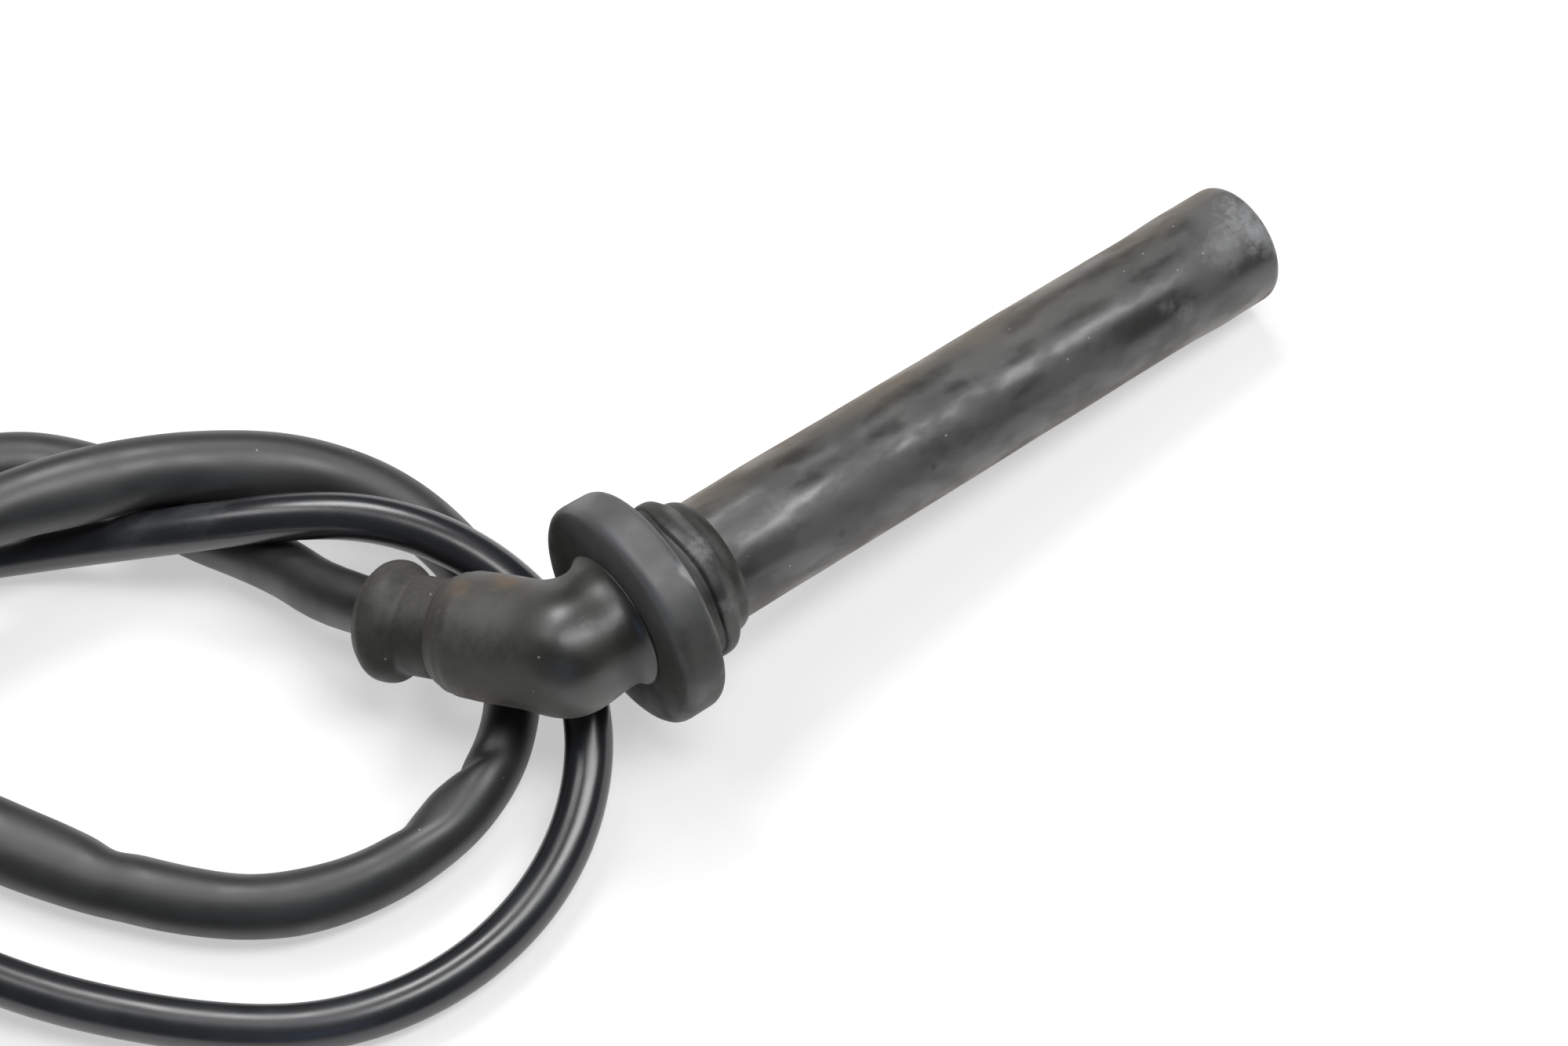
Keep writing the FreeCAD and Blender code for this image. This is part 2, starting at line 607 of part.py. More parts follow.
def make_lead():
    run, run_radii = rounded_run(run_points(LEAD_START))
    coil, coil_radii = turns()
    tail, tail_radii = rounded_run(tail_points())
    sleeve_run, sleeve_radii = rounded_run(run_points(SLEEVE_START))
    sleeve_coil = coil[:SLEEVED_ARCS]

    lead_run, ratio, length = faceted_tube(run, LEAD_DIAMETER, LEAD_SIDES)
    pilot = rod(LEAD_START - 1, LEAD_START + SCREW_POINT_LENGTH + CONDUCTOR_SHOWN, CONDUCTOR_DIAMETER / 2 + 0.05)
    pilot = on_arm(pilot)
    pilot.Placement = CAP_FRAME.multiply(pilot.Placement)
    NODES["lead_run"] = to_row(lead_run.cut(pilot))
    conductor = on_arm(rod(LEAD_START + SCREW_POINT_LENGTH, LEAD_START + SCREW_POINT_LENGTH + CONDUCTOR_SHOWN,
                           CONDUCTOR_DIAMETER / 2))
    NODES["conductor_cap_end"] = cap_to_row(conductor)
    print("lead_run volume ratio", round(ratio, 4), "radii", [round(r, 1) for r in run_radii])

    lead_coil, ratio, coil_length = faceted_tube(coil, LEAD_DIAMETER, LEAD_SIDES)
    NODES["lead_coil"] = to_row(lead_coil)
    print("lead_coil volume ratio", round(ratio, 4), "radii", [round(r, 1) for r in coil_radii])

    lead_tail, ratio, tail_length = faceted_tube(tail, LEAD_DIAMETER, LEAD_SIDES)
    end = tail[-1].Vertexes[-1].Point
    direction = (tail_points()[-1] - tail_points()[-2]).normalize()
    tail_frame = Placement(end - direction * BOOT_LEAD_LENGTH, Rotation(Vector(1, 0, 0), direction))
    pilot = rod(BOOT_LEAD_LENGTH - CONDUCTOR_SHOWN, BOOT_LEAD_LENGTH + 1, CONDUCTOR_DIAMETER / 2 + 0.05)
    pilot.Placement = tail_frame
    NODES["lead_tail"] = to_row(lead_tail.cut(pilot))
    conductor = rod(BOOT_LEAD_LENGTH - CONDUCTOR_SHOWN, BOOT_LEAD_LENGTH, CONDUCTOR_DIAMETER / 2)
    conductor.Placement = tail_frame
    NODES["conductor_coil_end"] = to_row(conductor)
    print("lead_tail volume ratio", round(ratio, 4), "radii", [round(r, 1) for r in tail_radii])

    for name, edges in (("sleeve_run", sleeve_run), ("sleeve_coil", sleeve_coil)):
        solid, ratio, sleeve_length = sleeve_tube(edges)
        NODES[name] = to_row(solid)
        print(name, "outer volume ratio", round(ratio, 4), "length", round(sleeve_length, 1))

    boot, terminal = make_boot_parts()
    for name, shape in (("coil_boot", boot), ("coil_terminal", terminal)):
        shape.Placement = tail_frame
        NODES[name] = to_row(shape)

    diameters = [SLEEVE_DIAMETER] * len(run)
    diameters += [SLEEVE_DIAMETER if i < SLEEVED_ARCS else LEAD_DIAMETER for i in range(len(coil))]
    diameters += [LEAD_DIAMETER] * len(tail)
    print("least gap of the lead and sleeve to itself", round(least_gap(run + coil + tail, diameters), 2))
    print("lead length", round(length + coil_length + tail_length, 1))


make_cap()
make_lead()
os.makedirs("parts", exist_ok=True)
for node_name, node_shape in NODES.items():
    node_shape.exportStep("parts/" + node_name + ".step")
    if not node_shape.isValid() or len(node_shape.Solids) != 1:
        print("check", node_name, node_shape.isValid(), len(node_shape.Solids))
print(len(NODES), "nodes")
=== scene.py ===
"""Spark plug cap with its ignition lead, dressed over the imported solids.

Metres, +Z up, in the row's frame: the origin is the centre of the plug boot's open mouth. The cap's
pieces are drawn in the cap's own frame, in millimetres, with the stem along X, the well seal's
elbow-side face at X = 0 and the wire arm in the XY plane.
"""
import math

import bmesh
import bpy
from mathutils import Matrix, Vector, noise


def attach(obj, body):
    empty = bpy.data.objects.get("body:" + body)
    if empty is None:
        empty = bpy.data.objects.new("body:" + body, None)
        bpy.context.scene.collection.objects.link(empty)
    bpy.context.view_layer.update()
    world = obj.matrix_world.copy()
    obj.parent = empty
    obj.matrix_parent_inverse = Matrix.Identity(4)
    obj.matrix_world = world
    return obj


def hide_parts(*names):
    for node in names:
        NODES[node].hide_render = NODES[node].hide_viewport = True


bl_info = {
    "name": "Spark plug cap and lead",
    "version": (1, 0, 0),
    "blender": (4, 5, 0),
    "location": "3D View > Sidebar > Cap and Lead",
    "description": "Builds the rubber, the lead and its sleeve over the solids of a spark plug cap",
    "category": "Object",
}

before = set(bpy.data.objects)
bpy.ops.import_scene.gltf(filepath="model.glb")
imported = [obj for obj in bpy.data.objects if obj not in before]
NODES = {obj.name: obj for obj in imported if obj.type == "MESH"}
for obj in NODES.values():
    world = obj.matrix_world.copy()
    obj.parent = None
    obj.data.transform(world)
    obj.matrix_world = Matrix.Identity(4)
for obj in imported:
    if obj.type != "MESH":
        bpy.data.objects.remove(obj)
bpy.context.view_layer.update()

MM = 0.001
UP = Vector((0, 0, 1))
FLOOR_HEIGHT = -0.009691

# How the cap lies: its stem leans down to its mouth, and its arm rolls down to the bench
STEM_LENGTH = 120.0
STEM_LEAN = 6.3
ARM_ROLL = 22.5
CAP = (
    Matrix.Rotation(math.radians(STEM_LEAN), 4, "Y")
    @ Matrix.Rotation(math.radians(-ARM_ROLL), 4, "X")
    @ Matrix.Scale(MM, 4)
    @ Matrix.Translation((-STEM_LENGTH, 0, 0))
)
BEND_POINT = Vector((-8.5, 0, 0))
ARM_DIRECTION = Vector((-0.5, math.sqrt(0.75), 0))
ARM = CAP @ Matrix.Translation(BEND_POINT) @ Matrix.Rotation(math.radians(120), 4, "Z")

# Where the lead goes: the points of its run from the arm, of its loose turns, and of its tail
RUN_POINTS = (
    (-0.13231, 0.00688, 0.01174),
    (-0.14627, 0.02912, 0.00422),
    (-0.14901, 0.04676, -0.00289),
    (-0.15623, 0.0607, -0.00469),
    (-0.15848, 0.07024, -0.00469),
    (-0.1632, 0.07748, -0.00427),
)
TAIL_POINTS = (
    (-0.19245, 0.07934, -0.00597),
    (-0.20505, 0.08687, -0.00589),
    (-0.22527, 0.09342, -0.00589),
    (-0.24917, 0.09358, -0.00099),
    (-0.28223, 0.09008, -0.00099),
)
# One row for each quarter of the turns: where the lead passes, and its direction there
TURN_QUARTERS = (
    ((-0.1692, 0.08254, -0.0022), (-0.8289, 0.5044, 0.2419)),
    ((-0.2066, 0.07172, 0.0012), (-0.5457, -0.8118, -0.2079)),
    ((-0.18786, 0.00824, -0.0047), (0.6225, -0.7826, 0.0)),
    ((-0.13328, 0.00658, -0.00464), (0.5946, 0.8036, -0.0262)),
    ((-0.14429, 0.05939, 0.0037), (-0.847, 0.4816, 0.225)),
    ((-0.21769, 0.05903, 0.0079), (-0.6946, -0.7117, -0.1045)),
    ((-0.19145, -0.01234, -0.00579), (0.7479, -0.6632, 0.0262)),
    ((-0.1299, -0.00772, -0.0027), (0.6085, 0.7681, 0.1994)),
    ((-0.1448, 0.0453, 0.00724), (-0.84, 0.5325, -0.1045)),
    ((-0.18261, 0.07455, -0.0054), (-0.8663, 0.4966, -0.0523)),
)
POINTS_PER_QUARTER = 6
QUARTER_PULL = 1.17

# The sleeve along the lead, in metres, and its wall in millimetres
SLEEVE_START = 0.0088
SLEEVE_LENGTH = 0.3725
SLEEVE_STEP = 0.0008
SLEEVE_SIDES = 64
SLEEVE_WALL = 0.7
# The most that a flattened stretch rises, over its round radius
SLEEVE_RISE = 1.05
# Half the sleeve's width over its radius, at distances along it in millimetres
SLEEVE_WIDTHS = (
    (0, 0.92), (10, 0.87), (24, 0.89), (44, 0.97), (90, 1.02), (166, 1.11), (178, 1.1), (187, 1.03),
    (206, 0.97), (228, 0.88), (236, 0.9), (250, 0.87), (272, 0.92), (300, 0.98), (335, 1.01),
    (372, 1.0),
)
# Kinks and dents: distance, angle round, slant, length, spread of the angle, and height, in
# millimetres and degrees; 0 degrees is the outer side of the turns and 90 the top
SLEEVE_KINKS = (
    (163.0, 180, 0.0, 12.0, 65, 1.3),
    (314.0, 198, 0.0, 13.0, 50, 2.0),
    (341.0, 198, 0.0, 11.0, 50, 1.65),
    (234.0, 180, 0.0, 4.8, 50, 0.95),
    (241.5, 140, 5.0, 1.5, 62, -0.75),
    (226.0, 175, 3.0, 1.8, 42, -0.45),
    (232.5, 108, 0.0, 3.8, 34, -0.5),
    (180.8, 180, 0.0, 2.8, 60, -0.75),
    (172.0, 165, 0.0, 5.0, 60, 0.25),
    (118.0, 180, 2.0, 2.2, 55, -0.6),
    (124.0, 175, 0.0, 4.0, 50, 0.4),
)
# The least distance of the sleeve's skin from the lead's middle line, in millimetres
LEAD_CLEARANCE = 3.7
# Scuffed places on the bare lead, with their radii
LEAD_SCUFFS = (
    ((-0.1635, 0.0602, 0.0038), 0.009),
    ((-0.1545, 0.054, 0.0075), 0.008),
    ((-0.1302, -0.0035, 0.0012), 0.003),
)

BOOT_NECK = Vector((-0.262337, 0.09219, -0.000991))
BOOT_DIRECTION = Vector((-0.99445, -0.10524, 0))

# The camera stands where the photo was taken from
CAMERA_PLACE = (-0.228475, -0.18, 0.417509)
CAMERA_RIGHT = (0.7908, -0.6121, 0)
CAMERA_VIEW = (0.2975, 0.3843, -0.874)
CAMERA_LENS = 74.19
SENSOR_WIDTH = 36.0
# How far the camera and glossy surfaces see the bench glow toward white
BACKDROP_GLOW = 0.5

# Each lamp: its place from the aim, the direction of its length, its length and width, its share of
# the key light's power, and its colour
LAMP_AIM = Vector((-0.1, 0.01, 0.0))
LAMPS = {
    "Key": ((0.32, -0.27, 1.02), (0.93, -0.36, 0.0), (1.0, 0.3), 1.0, (1.0, 1.0, 1.0)),
    "Left": ((-0.33, 0.45, 1.0), (-0.4, 0.92, 0.0), (0.6, 0.3), 0.28, (1.0, 1.0, 1.0)),
    "Back": ((0.25, 0.62, 0.95), (1.0, 0.0, 0.0), (0.55, 0.3), 0.72, (1.0, 1.0, 1.0)),
    "Window": ((-0.54, -0.69, 0.48), (0.79, -0.61, 0.0), (0.3, 0.3), 0.03, (0.25, 0.5, 1.0)),
}


def finish_mesh(name, corners, faces, uvs):
    """A smooth-shaded object from corner places, faces and a UV place for each corner of a face."""
    mesh = bpy.data.meshes.new(name)
    mesh.from_pydata(corners, [], faces)
    layer = mesh.uv_layers.new(name="around")
    for polygon in mesh.polygons:
        for loop_index, corner in zip(polygon.loop_indices, uvs[polygon.index]):
            layer.data[loop_index].uv = corner
    shaping = bmesh.new()
    shaping.from_mesh(mesh)
    bmesh.ops.recalc_face_normals(shaping, faces=shaping.faces)
    shaping.to_mesh(mesh)
    shaping.free()
    mesh.shade_smooth()
    made = bpy.data.objects.new(name, mesh)
    bpy.context.scene.collection.objects.link(made)
    return made


def skin(name, rings, place=None):
    """Quads from each ring of points to the next, and from the last ring back to the first."""
    count = len(rings[0])
    corners = [place @ point if place else point for ring in rings for point in ring]
    faces = []
    uvs = []
    for i in range(len(rings)):
        here = i * count
        there = (i + 1) % len(rings) * count
        low, high = i / len(rings), (i + 1) / len(rings)
        for k in range(count):
            after = (k + 1) % count
            left, right = k / count, (k + 1) / count
            faces.append((here + k, here + after, there + after, there + k))
            uvs.append(((left, low), (right, low), (right, high), (left, high)))
    return finish_mesh(name, corners, faces, uvs)


def round_steps(count):
    """Angles all the way round, in equal steps."""
    return [2 * math.pi * k / count for k in range(count)]


def round_point(x, radius, angle):
    """A place round the X axis."""
    return Vector((x, radius * math.cos(angle), radius * math.sin(angle)))


def turned_to(*axes):
    """The turn that takes X, Y and Z to three directions."""
    return Matrix(axes).transposed().to_4x4()


ROUNDING_STEPS = 5
LEAST_ROUNDING = 0.02
LARGEST_SHARE = 0.48


def rounded_outline(corners, step):
    """The outline through (x, radius, rounding) corners, rounded and cut into short pieces."""
    points = []
    total = len(corners)
    for i, (x, radius, rounding) in enumerate(corners):
        corner = Vector((x, radius))
        into = Vector(corners[i - 1][:2]) - corner
        out = Vector(corners[(i + 1) % total][:2]) - corner
        reach = min(rounding, LARGEST_SHARE * into.length, LARGEST_SHARE * out.length)
        if reach < LEAST_ROUNDING:
            points.append(corner)
            continue
        start = corner + into.normalized() * reach
        end = corner + out.normalized() * reach
        for k in range(ROUNDING_STEPS + 1):
            t = k / ROUNDING_STEPS
            points.append(start * (1 - t) ** 2 + corner * (2 * t * (1 - t)) + end * t ** 2)
    outline = []
    for here, there in zip(points, points[1:] + points[:1]):
        pieces = max(1, math.ceil((there - here).length / step))
        outline += [here.lerp(there, k / pieces) for k in range(pieces)]
    return outline


def turned_piece(name, corners, place, sides, step, push):
    """A hollow turned piece; push(x, radius, angle) is how far its surface moves along and out."""
    rings = []
    for x, radius in rounded_outline(corners, step):
        ring = []
        for angle in round_steps(sides):
            along, out = push(x, radius, angle)
            ring.append(round_point(x + along, radius + out, angle))
        rings.append(ring)
    return skin(name, rings, place)


def unevenness(point, size, depth, seed=0.0):
    """Soft rises and falls over a surface, with features of one size."""
    return depth * noise.noise(point / size + Vector((seed, 2 * seed, -seed)))


def give(obj, material, body, slot, *replaced):
    """One material and body for a piece, and the solids that it stands for; the slot is not used.
    """
    obj.data.materials.clear()
    obj.data.materials.append(material)
    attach(obj, body)
    if replaced:
        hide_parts(*replaced)
    return obj


# Materials

GRIT_COLOUR = (0.38, 0.36, 0.33)
LEAD_SCUFF_COLOUR = (0.09, 0.094, 0.098)
SHEEN_TINT = (1.0, 0.88, 0.72, 1.0)
SHEEN_ROUGHNESS = 0.45
# How far a bump's height of 1 stands out, in metres
BUMP_DISTANCE = 0.0001


def shade(colour, factor=1.0):
    """A colour as plain numbers, made darker or paler by a factor."""
    return tuple(factor * c for c in colour)


def put(tree, socket, value):
    """A link into the socket where the value comes from another one, or else the plain value."""
    if isinstance(value, bpy.types.NodeSocket):
        tree.links.new(value, socket)
    else:
        socket.default_value = value


def new_node(tree, kind, **values):
    node = tree.nodes.new(kind)
    for name, value in values.items():
        setattr(node, name, value)
    return node


def fill(tree, node, **values):
    """The node, with the named inputs filled in; a name has _ for each space."""
    for name, value in values.items():
        put(tree, node.inputs[name.replace("_", " ")], value)
    return node


def noise_node(tree, scale, detail, roughness, vector):
    node = new_node(tree, "ShaderNodeTexNoise")
    fill(tree, node, Scale=scale, Detail=detail, Roughness=roughness, Vector=vector)
    return node.outputs["Fac"]


def range_node(tree, value, low, high, to_low=0.0, to_high=1.0, smooth=True):
    """A value taken from one range to another, eased at both ends unless smooth is off."""
    easing = "SMOOTHSTEP" if smooth else "LINEAR"
    node = new_node(tree, "ShaderNodeMapRange", interpolation_type=easing)
    fill(tree, node, Value=value, From_Min=low, From_Max=high, To_Min=to_low, To_Max=to_high)
    return node.outputs["Result"]


def math_node(tree, operation, first, second):
    node = new_node(tree, "ShaderNodeMath", operation=operation)
    put(tree, node.inputs[0], first)
    put(tree, node.inputs[1], second)
    return node.outputs[0]


def times(tree, first, second):
    return math_node(tree, "MULTIPLY", first, second)


def plus(tree, first, second):
    return math_node(tree, "ADD", first, second)


def mix_colour(tree, amount, first, second):
    node = new_node(tree, "ShaderNodeMix", data_type="RGBA")
    for place, value in ((0, amount), (6, first), (7, second)):
        put(tree, node.inputs[place], (*value, 1.0) if isinstance(value, tuple) else value)
    return node.outputs[2]


def share_of(tree, operation, vector, other, radius):
    """A distance, or a height along a direction, as a share of a radius."""
    node = new_node(tree, "ShaderNodeVectorMath", operation=operation)
    put(tree, node.inputs[0], vector)
    put(tree, node.inputs[1], other)
    return math_node(tree, "DIVIDE", node.outputs["Value"], radius)


def ragged(tree, share, scale, vector, amount):
    """The same share, moved up and down by clouds of one scale."""
    clouds = noise_node(tree, scale, 4.0, 0.6, vector)
    shift = times(tree, math_node(tree, "SUBTRACT", clouds, 0.5), amount)
    return plus(tree, share, shift)


def start_group(name, result, **inputs):
    """A node group with a Vector, further inputs with their defaults, and one result."""
    tree = bpy.data.node_groups.new(name, "ShaderNodeTree")
    for label, value in {"Vector": (0, 0, 0), **inputs}.items():
        label = label.replace("_", " ")
        kind = "NodeSocketVector" if isinstance(value, tuple) else "NodeSocketFloat"
        socket = tree.interface.new_socket(label, in_out="INPUT", socket_type=kind)
        socket.default_value = value
    tree.interface.new_socket(result, in_out="OUTPUT", socket_type="NodeSocketFloat")
    return tree, tree.nodes.new("NodeGroupInput").outputs, tree.nodes.new("NodeGroupOutput").inputs


def dust_group():
    """Dust that lies in soft patches, broken up by finer noise."""
    tree, given, out = start_group("Dust", "Mask", Patch_Scale=60.0, Cover=0.5)
    patches = noise_node(tree, given["Patch Scale"], 3.0, 0.5, given["Vector"])
    fine_scale = times(tree, given["Patch Scale"], 14.0)
    fine = noise_node(tree, fine_scale, 6.0, 0.7, given["Vector"])
    spread = plus(tree, patches, given["Cover"])
    mask = times(tree, range_node(tree, spread, 0.75, 1.25),
                     range_node(tree, fine, 0.3, 0.7, 0.55, 1.0))
    put(tree, out["Mask"], mask)
    return tree


def specks_group():
    """Scattered small bright specks."""
    tree, given, out = start_group("Specks", "Mask", Scale=300.0, Size=0.08, Share=0.2)
    cells = new_node(tree, "ShaderNodeTexVoronoi")
    fill(tree, cells, Vector=given["Vector"], Scale=given["Scale"])
    parts = new_node(tree, "ShaderNodeSeparateColor")
    put(tree, parts.inputs[0], cells.outputs["Color"])
    near = math_node(tree, "LESS_THAN", cells.outputs["Distance"], given["Size"])
    chosen = math_node(tree, "LESS_THAN", parts.outputs[0], given["Share"])
    put(tree, out["Mask"], times(tree, near, chosen))
    return tree


def spot_group():
    """A soft-edged mark round one place on the surface, with a ragged outline."""
    tree, given, out = start_group("Spot", "Mask", Centre=(0, 0, 0), Radius=0.004, Ragged=0.5)
    share = share_of(tree, "DISTANCE", given["Vector"], given["Centre"], given["Radius"])
    uneven = ragged(tree, share, 420.0, given["Vector"], given["Ragged"])
    put(tree, out["Mask"], range_node(tree, uneven, 1.0, 0.35))
    return tree


def grain_group():
    """The skin of moulded rubber, as a height: a fine tooth over soft lumps."""
    tree, given, out = start_group("Moulded Grain", "Height", Scale=2500.0, Tooth=0.2, Lumps=0.5)
    fine = noise_node(tree, given["Scale"], 5.0, 0.65, given["Vector"])
    broad_scale = math_node(tree, "DIVIDE", given["Scale"], 9.0)
    broad = noise_node(tree, broad_scale, 2.0, 0.45, given["Vector"])
    tooth = times(tree, fine, given["Tooth"])
    lumps = times(tree, broad, given["Lumps"])
    put(tree, out["Height"], plus(tree, tooth, lumps))
    return tree


def rubbed_group():
    """Where handling has rubbed a round piece clean: a broken band along one side of its axis."""
    tree, given, out = start_group("Rubbed Band", "Mask", Side=(0, 0, 1), Radius=0.0095, Ragged=0.5)
    share = share_of(tree, "DOT_PRODUCT", given["Vector"], given["Side"], given["Radius"])
    uneven = ragged(tree, share, 95.0, given["Vector"], given["Ragged"])
    put(tree, out["Mask"], range_node(tree, uneven, 0.05, 0.75))
    return tree


def fleck_patch_group():
    """Fine pale flecks round one place, thinning out toward its edge: crazed wear, and on some
    pieces a painted highlight.
    """
    tree, given, out = start_group("Fleck Patch", "Mask", Centre=(0, 0, 0), Radius=0.004, Scale=900.0)
    share = share_of(tree, "DISTANCE", given["Vector"], given["Centre"], given["Radius"])
    near = range_node(tree, share, 1.0, 0.15)
    flecks = noise_node(tree, given["Scale"], 9.0, 0.78, given["Vector"])
    patches = noise_node(tree, 260.0, 4.0, 0.6, given["Vector"])
    broken = plus(tree, times(tree, flecks, 0.6), times(tree, patches, 0.4))
    fleck_tone = plus(tree, broken, times(tree, near, 0.22))
    put(tree, out["Mask"], times(tree, near, range_node(tree, fleck_tone, 0.58, 0.76)))
    return tree


GROUP_MAKERS = {"Dust": dust_group, "Specks": specks_group, "Spot": spot_group,
                "Moulded Grain": grain_group, "Rubbed Band": rubbed_group, "Fleck Patch": fleck_patch_group}


def place_group(tree, name, vector, **values):
    """One of the groups with values of its own, and its result."""
    group = bpy.data.node_groups.get(name) or GROUP_MAKERS[name]()
    node = new_node(tree, "ShaderNodeGroup", node_tree=group)
    return fill(tree, node, Vector=vector, **values).outputs[0]


def start_material(name, roughness, specular=0.5, metallic=0.0):
    """A material with its shader, and the place on the surface in the row's metres."""
    material = bpy.data.materials.new(name)
    material.use_nodes = True
    tree = material.node_tree
    shader = tree.nodes["Principled BSDF"]
    fill(tree, shader, Roughness=roughness, Specular_IOR_Level=specular, Metallic=metallic)
    place = new_node(tree, "ShaderNodeTexCoord").outputs["Object"]
    return material, tree, shader, place


def set_surface(tree, shader, colour, roughness, height, strength=1.0):
    """The colour, the roughness and the bump of a material's shader."""
    bump = new_node(tree, "ShaderNodeBump")
    fill(tree, bump, Strength=strength, Distance=BUMP_DISTANCE, Height=height)
    fill(tree, shader, Base_Color=colour, Roughness=roughness, Normal=bump.outputs["Normal"])


def in_cap_frame(tree, place, stretch=1.0):
    """The same place in the cap's frame, in metres, with lengths along the stem drawn out."""
    turn = new_node(tree, "ShaderNodeMapping", vector_type="TEXTURE")
    fill(tree, turn, Vector=place, Rotation=CAP.to_euler(), Scale=(stretch, 1.0, 1.0))
    return turn.outputs["Vector"]


def wiped(tree, dust, mask):
    """The dust that is left where a mask has been wiped clean."""
    return times(tree, dust, math_node(tree, "SUBTRACT", 1.0, mask))


def rubber_material(name, colour, cloud, dust_colour, dust_cover, roughness, dust_roughness,
                    patch_scale=55.0, rubbed=None, clean=(), spots=(), fleck_patches=(),
                    smears=(190.0, 0.12), specks=0.12, grain=(2600.0, 0.12, 0.5), sheen=0.1,
                    stretch=1.0, gloss=0.8):
    """Aged rubber: dull dust over clouded rubber, with scuffed spots, specks of grit, and on some
    pieces painted sheen and highlight.

    cloud is how much paler its clouds are, rubbed is (side, radius, ragged) of a band rubbed clean,
    each clean place is (place, radius), each spot and fleck patch is (place, radius, colour,
    strength), smears are (scale, change of roughness), and grain is (scale, tooth, lumps).
    """
    material, tree, shader, place = start_material(name, roughness, gloss)
    vector = in_cap_frame(tree, place, stretch)
    clouds = noise_node(tree, patch_scale * 1.7, 4.0, 0.6, vector)
    cloudy = range_node(tree, clouds, 0.36, 0.64)
    base = mix_colour(tree, cloudy, shade(colour), shade(colour, cloud))
    dust = place_group(tree, "Dust", vector, Patch_Scale=patch_scale, Cover=dust_cover)
    if rubbed:
        side, radius, unevenly = rubbed
        dust = wiped(tree, dust, place_group(tree, "Rubbed Band", in_cap_frame(tree, place),
                                             Side=side, Radius=radius, Ragged=unevenly))
    for centre, radius in clean:
        dust = wiped(tree, dust, place_group(tree, "Spot", place,
                                             Centre=centre, Radius=radius, Ragged=0.2))
    base = mix_colour(tree, dust, base, shade(dust_colour))
    rough = range_node(tree, dust, 0.0, 1.0, roughness, dust_roughness, smooth=False)
    smear_scale, smear_change = smears
    smear = noise_node(tree, smear_scale, 3.0, 0.5, vector)
    smeared = range_node(tree, smear, 0.36, 0.62, -0.2 * smear_change, smear_change)
    rough = plus(tree, rough, smeared)
    # Spots and fleck patches paint marks over the base: dust, scuffs and rust, and on some pieces
    # painted sheen and painted highlight
    for centre, radius, spot_colour, strength in spots:
        spot = place_group(tree, "Spot", place, Centre=centre, Radius=radius, Ragged=0.4)
        base = mix_colour(tree, times(tree, spot, strength), base, spot_colour)
    for centre, radius, fleck_colour, strength in fleck_patches:
        fleck_patch = place_group(tree, "Fleck Patch", place, Centre=centre, Radius=radius)
        fleck_patch = times(tree, fleck_patch, strength)
        base = mix_colour(tree, fleck_patch, base, fleck_colour)
        rough = plus(tree, rough, times(tree, fleck_patch, 0.2))
    grit = place_group(tree, "Specks", place, Scale=420.0, Size=0.08, Share=specks)
    base = mix_colour(tree, times(tree, grit, 0.6), base, GRIT_COLOUR)
    scale, tooth, lumps = grain
    set_surface(tree, shader, base, rough,
                place_group(tree, "Moulded Grain", vector, Scale=scale, Tooth=tooth, Lumps=lumps))
    # The pale veil that dust gives rubber at a low angle
    fill(tree, shader, Sheen_Weight=sheen, Sheen_Roughness=SHEEN_ROUGHNESS, Sheen_Tint=SHEEN_TINT)
    return material


def jacket_material(name, colour, roughness, fleck_patches):
    """The lead's smooth jacket, with soft smears and a few scuffed places."""
    material, tree, shader, place = start_material(name, roughness, 1.0)
    smear = noise_node(tree, 45.0, 4.0, 0.6, place)
    rough = range_node(tree, smear, 0.35, 0.7, roughness - 0.03, roughness + 0.1)
    base = mix_colour(tree, range_node(tree, smear, 0.4, 0.75), shade(colour), shade(colour, 1.5))
    for centre, radius in fleck_patches:
        fleck_patch = place_group(tree, "Fleck Patch", place, Centre=centre, Radius=radius, Scale=1500.0)
        base = mix_colour(tree, times(tree, fleck_patch, 0.3), base, LEAD_SCUFF_COLOUR)
        rough = plus(tree, rough, times(tree, fleck_patch, 0.05))
    set_surface(tree, shader, base, rough,
                place_group(tree, "Moulded Grain", place, Scale=1500.0, Tooth=0.05, Lumps=0.4))
    return material


def metal_material(name, colour, roughness, brushed=(1.0, 1.0, 1.0)):
    """Metal with fine lines along one direction and a dull tarnish in patches."""
    material, tree, shader, place = start_material(name, roughness, metallic=1.0)
    stretch = fill(tree, new_node(tree, "ShaderNodeMapping"), Vector=place, Scale=brushed)
    lines = noise_node(tree, 2200.0, 3.0, 0.6, stretch.outputs["Vector"])
    tarnish = noise_node(tree, 260.0, 4.0, 0.6, place)
    base = mix_colour(tree, range_node(tree, tarnish, 0.4, 0.75), colour, shade(colour, 0.55))
    rough = range_node(tree, lines, 0.3, 0.7, roughness - 0.08, roughness + 0.14)
    set_surface(tree, shader, base, rough, lines, strength=0.12)
    return material


def moulded_material(name, colour, roughness, fleck):
    """Hard insulating stock: a moulded skin with faint flecks."""
    material, tree, shader, place = start_material(name, roughness)
    flow = noise_node(tree, 340.0, 6.0, 0.65, place)
    base = mix_colour(tree, range_node(tree, flow, 0.45, 0.7), colour, fleck)
    rough = range_node(tree, flow, 0.3, 0.7, roughness, roughness + 0.15)
    set_surface(tree, shader, base, rough,
                place_group(tree, "Moulded Grain", place, Scale=1800.0, Tooth=0.15, Lumps=0.4))
    return material


# Centreline of the lead

